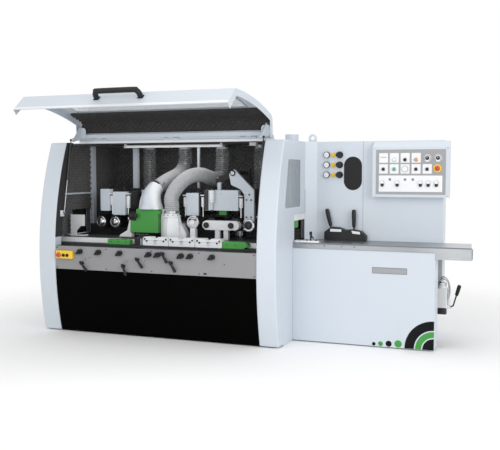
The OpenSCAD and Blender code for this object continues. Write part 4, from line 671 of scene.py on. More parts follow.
def end_panel(name, x0, x1):
    """End panel from its outer to its inner face: rim, lining, sheet and the strut bracket."""
    s = 1 if x1 > x0 else -1
    heights = [PANEL_FOOT_Z + (ROOF_Z - PANEL_FOOT_Z) * i / 40 for i in range(41)]
    rim = Form()
    outline = [(rim_y(z), z) for z in heights] + [(rim_y(z) + RIM_DEPTH, z) for z in reversed(heights)]
    rim.prism(outline, "x", min(x0, x1), max(x0, x1), "panel_paint")
    piece(name + "_rim", rim, "panel_paint", bevel=sizes().rim_round, segments=4, hides=(name,))
    dark = Form()
    inner = [(rim_y(z) + 6, z) for z in heights[20:]]
    inner += [(rim_y(z) + RIM_DEPTH, z) for z in reversed(heights[20:])]
    a, b = sorted((x1, x1 + s * 1.2))
    dark.prism(inner, "x", a, b, "foam")
    piece(name + "_lining", dark, "foam")
    side = Form()
    a, b = sorted((x0, x0 + s * 4))
    top = [(rim_y(z) + 100, z) for z in heights]
    side.prism(top + [(960, ROOF_Z), (960, PANEL_FOOT_Z)], "x", a, b, "panel_paint")
    sheet = piece(name + "_sheet", side, "panel_paint")
    # Boards pass both end sheets, and the right one has a window
    cutters = Form()
    cutters.block((a - 20, 35, TABLE_Z), (b + 20, 336, 1085), "panel_paint")
    if s < 0:
        frame_points = [(-211, 1149), (205, 1149), (205, 1556), (-125, 1556)]
        cutters.prism(soft_corners(frame_points, 24), "x", a - 20, b + 20, "panel_paint")
    cut(sheet, cutters)
    bracket = Form()
    y, z = rim_y(1080) + 91, 1080
    bracket.lathe((x1, y, z), (s, 0, 0), [(14, 0), (14, 13), (12, 14.5)], "white_paint", 20)
    bracket.lathe((x1, y, z), (s, 0, 0), [(5, 0), (5, 38)], "steel", 14)
    bracket.lathe((x1 + s * 33.5, y, z), (s, 0, 0), [(8, 0), (8, 4), (7, 4.6)], "steel", 16)
    a, b = sorted((x1, x1 + s * 5))
    bracket.block((a, y - 30, z - 34), (b, y + 26, z + 20), "white_paint")
    piece(name + "_bracket", bracket, "white_paint")


class MOULDER_OT_enclosure(bpy.types.Operator):
    """Build the end panels with rounded rims, the wall and roof strips, and the outfeed curtain"""

    bl_idname = "moulder.enclosure"
    bl_label = "Enclosure"

    def execute(self, context):
        end_panel("left_end_panel", 0, 171)
        end_panel("right_end_panel", 2285, 2114)
        boxes("wall_strips", "panel_paint", "panel_paint", [
            ((40, 348, 862), (84, 402, 1700)), ((40, -276, 1236), (72, 348, 1252))], bevel=0.001)
        edge = Form()
        # Painted highlight: a white strip along the roof's lower front edge; the panel paint strip above it is the
        # edge itself
        edge.block((172, -20.7, 1715), (2113, -20.1, 1736), "white_paint")
        edge.block((172, -11, 1718.3), (2113, -8.5, 1766), "panel_paint")
        piece("roof_edge_highlight_strip", edge, "white_paint")
        boxes("ceiling_lining", "foam", "lit_wall_foam", [((173, -17, 1711.4), (2112, 912, 1713.6))])
        boxes("outfeed_curtain", "black_plastic", "black_plastic", [
            ((4.2, 36 + 50 * k, 852), (7, 83.4 + 50 * k, 1108)) for k in range(6)])
        return {"FINISHED"}


def foam_sheet(name, corner, across, up, out, cells, keep=None):
    """Flat grid of cells from a corner, raised by the foam tree."""
    nu, nv = cells
    points = [Vector(corner) + Vector(across) * (i / nu) + Vector(up) * (j / nv)
              for j in range(nv + 1) for i in range(nu + 1)]
    faces = []
    for j in range(nv):
        for i in range(nu):
            mid = Vector(corner) + Vector(across) * ((i + 0.5) / nu) + Vector(up) * ((j + 0.5) / nv)
            if keep is None or keep(mid):
                a = j * (nu + 1) + i
                faces.append((a, a + 1, a + nu + 2, a + nu + 1))
    mesh = bpy.data.meshes.new(name + "_grid")
    mesh.from_pydata([at(*p) for p in points], [], faces)
    s = sizes()
    made = grown(name, mesh, tree_named("egg_crate_foam", foam_tree), {
        "Cell": s.foam_cell, "Depth": s.foam_depth, "Across": Vector(across).normalized(),
        "Up": Vector(up).normalized(), "Out": Vector(out), "Material": FINISH["lit_wall_foam"]})
    smooth(made, 80)
    piece(name, made, "foam")


class MOULDER_OT_foam(bpy.types.Operator):
    """Line the rear and left walls with bumpy sound foam"""

    bl_idname = "moulder.foam"
    bl_label = "Sound foam"

    def execute(self, context):
        foam_sheet("rear_foam", (49, 915, 820), (2187, 0, 0), (0, 0, 884), FRONT, (260, 105))

        def wall(p):
            """Clear of the boards' mouth and of the rim."""
            return not (27 < p.y < 344 and p.z < 1093) and p.y > rim_y(p.z) + 126

        foam_sheet("left_foam", (41, -310, 862), (0, 1215, 0), (0, 0, 840), (1, 0, 0), (145, 100), wall)
        return {"FINISHED"}


def hose_routes():
    """Way points of the four hoses."""
    tops = [(HOSE_X + HOSE_STEP * i, HOSE_Y, 1714) for i in range(4)]
    low = [(x, y, 1230) for x, y, _ in tops]
    leave = tuple(a + 140 * b for a, b in zip(ELBOW_END, ELBOW_DIR))
    return [
        [tops[0], low[0]],
        [ELBOW_END, leave, (960, 470, 1425), (954, 600, 1490), (951, 650, 1574), (951, 650, 1659), tops[1]],
        [(1142, -20, 1090), (1142, -20, 1145), (1142, -20, 1226), (1174, 32, 1320), (1236, 130, 1402),
         (1300, 255, 1424), (1344, 385, 1393), (1352, 505, 1376), (1350, 612, 1428), (1349, 650, 1574),
         (1349, 650, 1659), tops[2]],
        [tops[3], low[3]]]


class MOULDER_OT_hoses(bpy.types.Operator):
    """Sweep the ribbed extraction hoses along their routes"""

    bl_idname = "moulder.hoses"
    bl_label = "Extraction hoses"

    def execute(self, context):
        tree, s = tree_named("ribbed_hose", hose_tree), sizes()
        for i, route in enumerate(hose_routes(), 1):
            curve = bpy.data.curves.new("hose_%d_path" % i, "CURVE")
            curve.dimensions = "3D"
            path = smooth_path(route, 12)
            line = curve.splines.new("POLY")
            line.points.add(len(path) - 1)
            for point, p in zip(line.points, path):
                point.co = (*at(*p), 1)
            mesh = grown("extraction_hose_%d" % i, curve, tree, {
                "Radius": s.hose_radius, "Rib": s.hose_rib, "Pitch": s.hose_pitch, "Material": FINISH["hose"]})
            smooth(mesh, 60)
            piece("extraction_hose_%d" % i, mesh, "hose", hides=("extraction_hoses",) if i == 1 else ())
        return {"FINISHED"}


def opened(y, z):
    """A point of the shut hood, turned to where the open hood holds it."""
    t = math.radians(-HOOD_TURN)
    dy, dz = y - HINGE_Y, z - HINGE_Z
    return HINGE_Y + dy * math.cos(t) - dz * math.sin(t), HINGE_Z + dy * math.sin(t) + dz * math.cos(t)


def gas_springs():
    """Gas spring bodies with their end fittings."""
    form = Form()
    for x in (195, 2090):
        top, low = Vector((x, -190, 1742)), Vector((x, rim_y(1080) + 91, 1080))
        way = (low - top).normalized()
        reach = (low - top).length * 0.5565
        body = [(4.5, 6), (4.5, 22), (7.5, 24), (8, 26), (8, reach - 6), (6.5, reach - 2), (5.6, reach)]
        form.lathe(tuple(top), tuple(way), body, "strut_grey", 20)
        form.lathe((x - 7, -190, 1742), (1, 0, 0), [(10, 0), (11, 1), (11, 13), (10, 14)], "dark_steel", 20)
    piece("gas_springs", form, "black_paint", "cylinders", hides=("strut_cylinders",))


def hood_foam():
    """Bumpy foam inside the hood's roof and bend, and below its window."""
    cell = sizes().foam_cell * 1000
    bend = (rim_y(1696, 68), 1696)
    lines = {"hood_foam_upper": [(-85, 1756), (bend[0], 1756)] + arc(*bend, 60, 90, 157, 8)[1:]
             + [(rim_y(z, 8), z) for z in (1690, 1660, 1630, 1600, 1580, 1556)],
             "hood_foam_lower": [(rim_y(z, 8), z) for z in (1124, 1090, 1060, 1030, 990)]}
    for name, line in lines.items():
        path = [Vector(p) for p in line]
        steps = []
        for a, b in zip(path, path[1:]):
            n = max(1, round((b - a).length / 8))
            steps += [a.lerp(b, k / n) for k in range(n)]
        steps.append(path[-1])
        xs = [226 + (2098 - 226) * i / 226 for i in range(227)]
        form, rows = Form(), []
        travel = 0.0
        for j, p in enumerate(steps):
            ahead = steps[min(j + 1, len(steps) - 1)] - steps[max(j - 1, 0)]
            inward = Vector((-ahead.y, ahead.x)).normalized()
            travel += (p - steps[j - 1]).length if j else 0
            edge = j in (0, len(steps) - 1)
            for x in xs:
                wave = math.sin(2 * math.pi * x / cell) * math.sin(2 * math.pi * travel / cell)
                q = p + inward * (6 if edge else 20 + 13 * (1 + wave) / 2)
                rows.append((x, *opened(q.x, q.y)))
        n = len(xs)
        faces = [(j * n + i, j * n + i + 1, (j + 1) * n + i + 1, (j + 1) * n + i)
                 for j in range(len(steps) - 1) for i in range(n - 1)]
        form.add(rows, faces, "foam")
        piece(name, form, "foam", "hood", hides=("hood_lining",) if name == "hood_foam_upper" else ())


class MOULDER_OT_hood(bpy.types.Operator):
    """Shape the hood's bow handle, trim and foam lining, and its gas springs"""

    bl_idname = "moulder.hood"
    bl_label = "Hood"

    def execute(self, context):
        crease = Vector((rim_y(950, 8), 950))
        lip = Vector((108, -150)).normalized()
        out = Vector((lip.y, -lip.x))
        middle = crease + lip * 70

        def on_lip(x, height, along=0.0):
            """Point above the lip's middle line, with the hood open."""
            p = middle + out * height + lip * along
            return (x, *opened(p.x, p.y))

        handle = Form()
        x0, x1 = 927, 1327
        rise = [(0, 0), (1, 30), (6, 50), (20, 65), (42, 71)]
        path = [on_lip(x0 + dx, h) for dx, h in rise] + [on_lip(x1 - dx, h) for dx, h in reversed(rise)]
        handle.tube(smooth_path(path, 5), 22.5, "black_plastic", 18)
        for x in (x0, x1):
            corners = [on_lip(x + dx, h, w) for h in (0, 6) for dx, w in ((-24, -21), (24, -21), (24, 21), (-24, 21))]
            handle.add(corners, BOX_FACES, "black_plastic")
        piece("bow_handle", handle, "black_plastic", "hood", bevel=0.003, hides=("hood_handle",))
        trim = Form()
        # Painted highlight: a white band on the lip's outer face, where a hem would catch the light
        corners = [on_lip(x, h, w) for h in (0.3, 1.5) for x, w in ((181, 84), (2104, 84), (2104, 114), (181, 114))]
        trim.add(corners, BOX_FACES, "white_paint")
        for low, high in (((182, 1751), (272, 1858)), ((2018, 1751), (2103, 1850))):
            trim.prism(soft_corners([low, (high[0], low[1]), high, (low[0], high[1])], 26), "y", -66, -61,
                       "panel_paint")
        piece("hood_trim_and_highlight", trim, "panel_paint", "hood", bevel=0.001)
        hood_foam()
        gas_springs()
        return {"FINISHED"}


def suction_elbow():
    """Cast suction elbow that narrows from a wide foot to the hose's round mouth."""
    across = Vector((math.cos(ELBOW_TURN), -math.sin(ELBOW_TURN), 0))
    away = Vector((math.sin(ELBOW_TURN), math.cos(ELBOW_TURN), 0))
    rings = []
    for i in range(19):
        t = i / 18
        a = ELBOW_BEND * max(0.0, (t - 0.16) / 0.84)
        up = Vector(UP) * math.cos(a) + away * math.sin(a)
        over = across.cross(up)
        mid = Vector((ELBOW_X, ELBOW_Y, 1110.3)) + Vector((0, 0, 41.7)) * min(1.0, t / 0.16)
        mid += away * ELBOW_RADIUS * (1 - math.cos(a)) + Vector((0, 0, ELBOW_RADIUS * math.sin(a)))
        mid += Vector((6, 26, 0)) * (1 - t) ** 2 + Vector((7, 0, 0)) * math.sin(math.pi * t)
        wide, deep, power = 77 + 50 * (1 - t) ** 1.5, 72 - 14 * (1 - t) ** 2, 2 + 2.6 * (1 - t) ** 2
        ring = []
        for k in range(40):
            c, d = math.cos(2 * math.pi * k / 40), math.sin(2 * math.pi * k / 40)
            ring.append(mid + across * wide * math.copysign(abs(c) ** (2 / power), c)
                        + over * deep * math.copysign(abs(d) ** (2 / power), d))
        rings.append(ring)
    form = Form()
    form.loft(rings, "white_paint")
    form.block((1012, 12, 850.5), (1058, 92, 1109), "white_paint")
    piece("suction_elbow", form, "panel_paint", bevel=0.002)
    foot = Form()
    foot.prism([(588, 850.5), (721, 850.5), (721, 1008), (700, 1008), (676, 912), (600, 868)], "y", -18, 40,
               "white_paint")
    piece("guard_foot", foot, "white_paint", bevel=0.003)


def chip_hood():
    """Faceted chip hood of the left head, with the clamp wheel beside it."""
    form = Form()
    form.lathe((1150, -20, 850.4), UP, [(84, 0), (88, 5), (88, 128), (70, 194)], "white_paint", 10)
    form.lathe((1142, -20, 1043.6), UP, [(78, 0), (80, 2), (80, 14), (78, 16.4)], "white_paint", 36)
    form.lathe((1142, -20, 1059), UP, [(68, 0), (68, 31)], "white_paint", 36)
    form.prism([(1150, 850.4), (1284, 850.4), (1284, 900), (1236, 978), (1150, 1000)], "y", -28, 54, "white_paint")
    piece("chip_hood", form, "white_paint", bevel=0.002, hides=("side_head_hood",))
    wheel = Form()
    wheel.block((1324, -52, 850.5), (1396, 8, 866), "white_paint")
    wheel.block((1334, -44, 865), (1384, 0, 948), "white_paint")
    tyre = [(57, -14), (61, -10), (61, 14), (56, 20), (46, 21), (42, 13), (16, 12)]
    wheel.lathe((1352, -10, 1000), FRONT, tyre, "chrome_rod", 40)
    wheel.lathe((1352, -22, 1000), FRONT, [(24, -1), (24, 10), (20, 14), (4, 15)], "white_paint", 28)
    wheel.block((1312, -33.5, 1018), (1394, -22, 1027), "dark_steel")
    piece("clamp_wheel", wheel, "white_paint", bevel=0.0015)


class MOULDER_OT_heads(bpy.types.Operator):
    """Build the cutter guards, suction elbow and chip hood with their knobs, clamps and bolts"""

    bl_idname = "moulder.heads"
    bl_label = "Heads and guards"

    def execute(self, context):
        cover = Form()
        cover.prism([(722, 895), (1010, 895), (1010, 1110), (784, 1110), (784, 1004), (722, 1004)], "y", -40, 100,
                    "green_paint")
        cover.block((722, 99, 1050), (1010, 420, 1110), "green_paint")
        cover.block((1009, -36, 1065), (1030, 4, 1100), "green_paint")
        piece("top_head_guard", cover, "green_paint", bevel=0.004, hides=("top_head_cover",))
        knobs = Form()
        for x in (744, 790):
            knobs.lathe((x, -33, 1050), FRONT, [(9, 0), (9, 24), (16, 27), (25, 34), (25, 44), (19, 48), (6, 49)],
                        "black_plastic", 20)
        knobs.block((722, -34, 1003), (785, 60, 1086), "black_plastic")
        piece("guard_knobs", knobs, "black_plastic", bevel=0.002)
        suction_elbow()
        chip_hood()
        rings = Form()
        end, way = Vector(ELBOW_END), Vector(ELBOW_DIR)
        rings.lathe(tuple(end - way * 22), tuple(way), [(73, 0), (76, 3), (76, 24), (70, 27)], "dark_steel", 36)
        rings.block((end.x + 60, end.y - 30, end.z + 32), (end.x + 84, end.y - 6, end.z + 48), "steel")
        rings.lathe((1142, -20, 1076), UP, [(68, 0), (71.5, 3), (71.5, 24), (67, 27)], "steel", 36)
        for i in range(4):
            rings.lathe((HOSE_X + HOSE_STEP * i, HOSE_Y, 1686), UP, [(68, 0), (70.5, 2), (70.5, 14), (68, 16)],
                        "steel", 32)
        piece("hose_clamps", rings, "steel")
        points = [(x, y, 1061) for x, y in arc(1142, -20, 74, 15, 339, 9)]
        screws("chip_hood_screws", points, "dark_steel", 0.0045, 0.006, (0, 0, 0))
        bolts = [(x + s, -281, 845) for x in (985, 1240, 1495) for s in (40, 205)]
        bolts += [(x + s, -281, 862) for x in (985, 1240, 1495) for s in (20, 228)]
        screws("shoe_bolts", bolts, "dark_steel", 0.0085, 0.006)
        boxes("bed_stops", "black_plastic", "black_plastic", [
            ((903, -286, 806), (962, -279.5, 868)), ((940, -279, 866), (980, -206, 900)),
            ((720, -205, 851), (975, -190, 862))], bevel=0.002)
        return {"FINISHED"}


def toothed_roller(i, x, barrel, shaft_end):
    """Feed roller with the hub or shaft that its station shows."""
    form, z = Form(), FEED_Z
    teeth = [((60, 57)[k % 2], math.pi * k / 30) for k in range(60)]
    form.prism([(x + r * math.cos(t), z + r * math.sin(t)) for r, t in teeth], "y", *barrel, "dark_steel")
    if i < 3:
        hub = [(50, 0), (50, 5), (46, 7), (44, 4), (41, 4), (37, 10), (28, 17), (16, 21), (0.5, 22)]
        form.lathe((x, 100, z), FRONT, hub, "chrome_rod", 36)
        for a, b in arc(x, z, 21, 45, 315, 3):
            form.lathe((a, 84, b), FRONT, [(5, 0), (5, 4), (4, 5)], "dark_steel", 10)
        form.lathe((x, 300, z), (0, 1, 0), [(20, -1), (20, shaft_end - 300)], "steel", 20)
    elif i < 5:
        form.lathe((x, shaft_end, z), FRONT, [(20, 0), (20, shaft_end + 16)], "steel", 20)
        form.lathe((x, -10.6, z), FRONT, [(22, 0), (26, 2), (26, 13), (22, 17), (9, 17.4)], "black_plastic", 26)
        form.lathe((x, -28, z), FRONT, [(8, 0), (8, 3), (6, 4)], "dark_steel", 12)
    else:
        form.lathe((x, 94.6, z), FRONT, [(60, 0), (60, 14), (57, 19), (50, 19.6), (48, 12), (40, 12)],
                   "chrome_rod", 40)
        form.lathe((x, 83, z), FRONT, [(47, -4), (47, 0), (26, 1), (20, 6), (4, 7)], "dark_steel", 30)
        for a, b in arc(x, z, 54, 30, 330, 5):
            form.lathe((a, 75.6, b), FRONT, [(4.5, 0), (4.5, 3)], "dark_steel", 10)
        form.lathe((x, shaft_end, z), FRONT, [(20, 0), (20, shaft_end - 90)], "steel", 20)
    piece("toothed_roller_%d" % i, form, "steel", "feed_%d" % i, hides=("feed_roller_%d" % i,))


def air_cylinders():
    """Upright cylinders with their rods, and the tilting one on its link."""
    form = Form()
    rows = [(461, 84, 289, 388, 84), (634, 84, 264, 389, 110), (1226, 84, 287, 382, 90), (1404, 84, 286, 384, 90),
            (1774, 84, 283, 379, 90), (1512, 40, 332, 448, 70)]
    for x, y, low, high, rod in rows:
        z0, z1 = TABLE_Z + low, TABLE_Z + high
        r = 24 if y == 40 else 17.4
        form.lathe((x, y, z0), UP, [(r - 2, 0), (r, 2), (r, z1 - z0 - 3), (r - 3, z1 - z0)], "face_white", 28)
        form.lathe((x, y, z0 + 16), UP, [(r - 1, 0), (r + 0.3, 0.4), (r + 0.3, 2.6), (r - 1, 3)], "seam", 28)
        form.lathe((x, y, z1 - 12), UP, [(r - 1, 0), (r + 0.8, 0.6), (r + 0.8, 12), (r - 3, 13)], "dark_steel", 28)
        form.lathe((x, y, z0 - rod), UP, [(7, 0), (7, rod - 8), (11, rod - 7), (11, rod + 1)], "chrome_rod", 18)
        form.lathe((x, y, z0 - rod - 20), UP, [(8, 0), (10, 2), (10, 18), (7, 21)], "black_plastic", 16)
    form.block((1498, 40, 1262), (1526, 60, 1290), "dark_steel")
    form.block((1524, 133, 1288), (1556, 161, 1400), "panel_paint")
    lean = Vector(tilt(70))
    foot = Vector((1540, 147, 1392))
    form.lathe(tuple(foot), tuple(lean), [(19, 0), (21, 3), (21, 92), (18, 96)], "black_plastic", 24)
    form.lathe(tuple(foot + lean * 95), tuple(lean), [(8, 0), (8, 23)], "chrome_rod", 16)
    piece("air_cylinder_set", form, "white_paint", hides=("air_cylinders",))
    link = Form()
    link.prism([(1512, 1350), (1512, 1384), (1600, 1432), (1684, 1470), (1714, 1450), (1690, 1408), (1604, 1370)],
               "y", 126, 170, "black_plastic")
    link.lathe((1690, 95, 1440), FRONT, [(27, -0.4), (27, 5), (24, 8)], "black_plastic", 28)
    link.lathe((1690, 87, 1440), FRONT, [(19, -1), (19, 5), (16, 8), (9, 8), (8, 4), (1, 4)], "chrome_rod", 28)
    piece("tilt_link", link, "black_plastic", bevel=0.003)


def feed_fittings():
    """Valves and blocks on the gearboxes, beam posts, lamp tube and arm bolts, with dark blocks of painted shade
    beside the gearboxes.
    """
    form = Form()
    for x, y, z in ((394, 150, 1289), (545, 150, 1264), (1314, 150, 1260), (1470, 150, 1288), (1640, 150, 1288),
                    (1720, 150, 1288)):
        form.lathe((x, y, z - 1), UP, [(9, 0), (9, 18), (17, 22), (17, 42), (12, 46)], "black_plastic", 18)
    for x, y, z in ((430, 90, 1289), (520, 90, 1264), (590, 110, 1264), (1270, 90, 1260), (1360, 90, 1260),
                    (1450, 90, 1288)):
        form.block((x - 11, y - 10, z - 1), (x + 11, y + 10, z + 26), "black_plastic")
    form.block((612, 240, 1062), (690, 331, 1098), "black_plastic")
    form.block((636, 330, 1080), (762, 419.6, 1276), "panel_paint")
    form.block((1540, 132, 1062), (1612, 190, 1106), "green_paint")
    piece("feed_fittings", form, "black_plastic", bevel=0.002)
    boxes("beam_posts", "panel_paint", "panel_paint", [
        ((482, 439.4, 1290.4), (528, 485.6, 1711)),
        ((1179.5, 439.4, 1290.4), (1200.5, 460.6, 1711))], bevel=0.001)
    # Painted shade: dark blocks beside the gearboxes, so the cylinders stand against the dark
    boxes("housing_edge_shade", "steel", "dark_steel", [
        ((1423.4, 59.0, 1107), (1468, 130, 1287.6)), ((1370, 59.0, 1058), (1384.6, 130, 1259.6))], bevel=0.001)
    lamp = Form()
    lamp.lathe((586, 150, 1687), (1, 0, 0), [(12.4, 0), (12.4, 958)], "tube_light", 24)
    piece("lamp_tube", lamp, "white_paint")
    arms = [(1821, 94, 1202), (1865, 94, 1202), (1847, 94, 1250), (1690, 94, 1440), (1865, 94, 1050),
            (1820, 94, 1050)]
    screws("arm_bolts", arms, "dark_steel", 0.008, 0.006)


class MOULDER_OT_feed(bpy.types.Operator):
    """Build the toothed rollers with their hubs, the air cylinders, fittings, posts and lamp tube"""

    bl_idname = "moulder.feed"
    bl_label = "Feed works"

    def execute(self, context):
        for i, x in enumerate((325, 478, 1479, 1716), 1):
            toothed_roller(i, x, (100, 300), 338)
        toothed_roller(5, 1843, (131, 300), 300)
        air_cylinders()
        feed_fittings()
        return {"FINISHED"}


class MOULDER_OT_front_controls(bpy.types.Operator):
    """Add button caps, a stop collar, clamp grips and screws to the adjuster panel, and a thin black sheet of painted
    shade on its top ledge
    """

    bl_idname = "moulder.front_controls"
    bl_label = "Front controls"

    def execute(self, context):
        form = Form()
        for x in (277, 317):
            form.lathe((x, -464.8, 707), FRONT, [(14.3, -8), (14.3, 0.2), (13, 1.5), (2, 2)], "black_plastic", 24)
        collar = [(x, -456.6, z) for x, z in arc(224, 707, 20.8, 0, 360, 30)]
        form.tube(collar, 1.5, "black_plastic", 8)
        # Painted shade: a thin black sheet on the panel's top ledge, in the gap below the bed
        form.block((172, -425.5, 788), (2113, -300.5, 789), "black_plastic")
        piece("panel_trim_and_shade", form, "black_plastic")
        for i, (x, z, lean) in enumerate([(457, 641, -50), (879, 632, -68), (1019, 694, -52), (1263, 752, -58),
                                          (1342, 678, -58)], 1):
            lever = Form()
            lever.lathe((x, -427.5, z), FRONT, [(14.5, 0), (14.5, 28), (12, 33), (5, 33.5)], "black_plastic", 22)
            way = (math.cos(math.radians(lean)), 0, math.sin(math.radians(lean)))
            grip = [(7, -22), (10, -20), (10, -8), (9, 4), (10.5, 34), (13, 62), (13, 82), (9, 88)]
            lever.lathe((x, -451, z), way, grip, "black_plastic", 18)
            piece("clamp_grip_%d" % i, lever, "black_plastic", "clamp_%d" % i, hides=("clamp_lever_%d" % i,))
        points = [(x, -427, z) for x in (190, 700, 1150, 1600, 2095) for z in (596, 772)]
        screws("panel_screws", points, "dark_steel", sizes().screw_radius, 0.003)
        return {"FINISHED"}


def pressure_gauges():
    """Gauges with number discs and knob rings, and the sight glass."""
    form = Form()
    for z in (1600, 1512, 1424):
        form.lathe((2467, 406, z), FRONT, [(28, 0), (28, 20), (26.5, 22), (24.6, 22), (24, 18)], "gloss_black", 32)
        form.lathe((2467, 388.4, z), FRONT, [(24.2, 0), (24.2, 1.6)], "face_white", 32)
        for k in range(9):
            t = math.radians(-45 + 270 * k / 8)
            a, b = Vector((math.cos(t), math.sin(t))) * 18, Vector((math.cos(t), math.sin(t))) * 22
            form.tube([(2467 + a.x, 386.6, z + a.y), (2467 + b.x, 386.6, z + b.y)], 0.8, "black_plastic", 6)
        form.tube([(2467 + 4, 386.2, z + 5), (2467 - 11, 386.2, z - 13)], 1.0, "black_plastic", 6)
        form.lathe((2525, 406, z), FRONT, [(20, 0), (20, 5), (18.5, 6)], "yellow_paint", 28)
        form.lathe((2584, 406, z), FRONT, [(30, 0), (30, 7), (29, 8)], "gloss_black", 30)
        form.lathe((2584, 398, z), FRONT, [(5, -1), (5, 24)], "steel", 14)
    piece("pressure_gauges", form, "black_plastic")
    pane = Form()
    pane.prism(oval(2703, 1437, 66.5, 75.8, 18), "y", 412, 414, "gloss_black")
    pane.prism(oval(2703, 1437, 66.5, 81, 18), "y", 404.6, 405.9, "gloss_black")
    piece("oval_sight_glass", pane, "black_plastic", bevel=0.001)


def cabinet_trim():
    """Seams, bare plate, flaps and drop guard."""
    boxes("panel_seams", "panel_paint", "seam", [
        ((2795 - 1.2, 405.4, 862), (2795 + 1.2, 406, 1716)), ((2300, -4.2, 801.5), (3484, 0.2, 803.4)),
        ((2285, 338, 1086), (2287, 341, 1300)), ((2284.2, -0.4, 12), (2286.4, 0.2, 800))])
    plate = Form()
    plate.prism(rounded((2973, 616), (3261, 668), 3), "y", -1.2, 0, "seam")
    plate.prism(rounded((2978, 621), (3256, 663), 2), "y", -2.0, -1.1, "face_silver")
    piece("bare_plate", plate, "steel")
    screws("plate_rivets", [(2984, -2.4, 642), (3250, -2.4, 642)], "steel", 0.003, 0.0014)
    boxes("infeed_flaps", "white_paint", "face_white", [
        ((2280, 38 + 50 * k, 1031), (2282.4, 38 + 50 * k + 46, 1084)) for k in range(6)])
    drop = Form()
    drop.prism(soft_corners([(60, 968), (160, 968), (160, 1112), (60, 1112)], 8), "x", 2262, 2280.6, "green_paint")
    piece("infeed_drop_guard", drop, "green_paint", bevel=0.002)


def hand_pump():
    """Hand pump's front, foot, cap and looped pipes, and the grip of its lever."""
    form = Form()
    form.block((3453, 298.6, 314), (3537, 300.2, 474), "face_white")
    form.prism(rounded((3461.4, 308.6), (3534.6, 379.4), 13), "z", 256, 311, "dark_steel")
    form.lathe((3495, 344, 518), UP, [(24, -2), (24, 8), (20, 12), (9, 13), (8, 20), (3, 21)], "chrome_rod", 24)
    for y, lift, out in ((330, 22, 26), (352, 36, 34), (372, 12, 20)):
        run = [(3489, y, 524), (3492, y, 524 + lift), (3510, y, 534 + lift), (3528 + out * 0.5, y, 520 + lift * 0.5),
               (3536 + out * 0.7, y, 480), (3537 + out * 0.7, y, 430), (3533 + out * 0.4, y, 384), (3526, y, 362)]
        form.tube(smooth_path(run, 6), 4.5, "chrome_rod", 10)
    piece("pump_pipes", form, "steel", bevel=0.001)
    grip = Form()
    grip.lathe((3589, 344, 330), tilt(16), [(7, 88), (13, 91), (15.5, 110), (16.5, 168), (14, 180), (5, 184)],
               "black_plastic", 24)
    piece("pump_lever_grip", grip, "black_plastic", "pump_arm")


def corner_motif():
    """Rings and discs in the cabinet's lower corner."""
    form = Form()
    cx, cz = 3484, 12
    for r0, r1, paint in ((0, 92, "gloss_black"), (102, 150, "green_paint"), (160, 236, "gloss_black")):
        outline = arc(cx, cz, r1, 90, 180, 24) + (arc(cx, cz, r0, 180, 90, 24) if r0 else [(cx, cz)])
        form.prism(outline, "y", -0.7, 0, paint)
    for x, r, paint in ((3196, 30, "green_paint"), (3118, 25, "gloss_black"), (3050, 20, "green_paint"),
                        (2994, 15, "gloss_black")):
        form.prism(arc(x, 14 + r, r, 0, 345, 23), "y", -0.7, 0, paint)
    piece("corner_motif", form, "panel_paint")


def table_fittings():
    """Guide bracket, quadrant plates, lever grips, edge lines and screws of the infeed table."""
    form = Form()
    outline = [(0, 0), (200, 0), (214, 18), (190, 46), (120, 60), (30, 52), (0, 30)]
    form.prism([(2298 + x, 9.8 + y) for x, y in outline], "z", 850.2, 866.6, "white_paint")
    for x, y in ((34, 24), (100, 26), (184, 22)):
        form.lathe((2298 + x, 10 + y, 866), UP, [(8.6, 0), (8.6, 8), (7, 9)], "dark_steel", 14)
    form.lathe((2432, 40, 866), UP, [(7.4, 0), (7.4, 44), (11.5, 46), (12, 74), (9, 78)], "black_plastic", 16)
    form.tube([(2432, 40, 930), (2446, 30, 900), (2462, 24, 886)], 6, "black_plastic", 10)
    piece("guide_bracket", form, "white_paint", bevel=0.002)
    plates = Form()
    plates.prism([(2522, 926), (2622, 925.5), (2622, 947.5), (2522, 950)], "y", 328.8, 330, "face_white")
    plates.prism([(2723, 913), (2790, 907), (2788, 929), (2712, 938)], "y", 328.8, 330, "face_white")
    piece("quadrant_plates", plates, "white_paint")
    for name, body, (x, z), lean in (("table_lever", "lever_1", (2531, 912), -14),
                                     ("fence_lever", "lever_2", (2727, 902), -1)):
        grip = Form()
        knob = [(7.4, 50), (7.4, 64), (13, 66), (16, 84), (18.5, 150), (18.5, 200), (14, 216), (5, 218)]
        grip.lathe((x, 368, z), tilt(lean), knob, "black_plastic", 24)
        piece(name + "_grip", grip, "black_plastic", body)
    boxes("table_edge_lines", "steel", "seam", [
        ((2346, 3.4, 840.2), (3766.6, 4.2, 849.4)), ((3766.8, -3.4, 757), (3767.4, 85, 839.6))])
    screws("table_screws", [(2565, -2, 828), (2823, -2, 828)], "dark_steel", sizes().screw_radius, 0.006)


class MOULDER_OT_infeed(bpy.types.Operator):
    """Add gauges, seams, a bare plate, corner motif, table fittings and the pump's pipes to the infeed end"""

    bl_idname = "moulder.infeed"
    bl_label = "Infeed end"

    def execute(self, context):
        pressure_gauges()
        cabinet_trim()
        corner_motif()
        table_fittings()
        hand_pump()
        return {"FINISHED"}


def console_button(form, x, y, z, paint):
    """Push button in a steel ring."""
    form.lathe((x, y, z), FRONT, [(17, 0), (17, 4), (14, 6)], "steel", 24)
    form.lathe((x, y, z), FRONT, [(13, 0), (13, 13), (11, 15), (1, 15.4)], paint, 24)


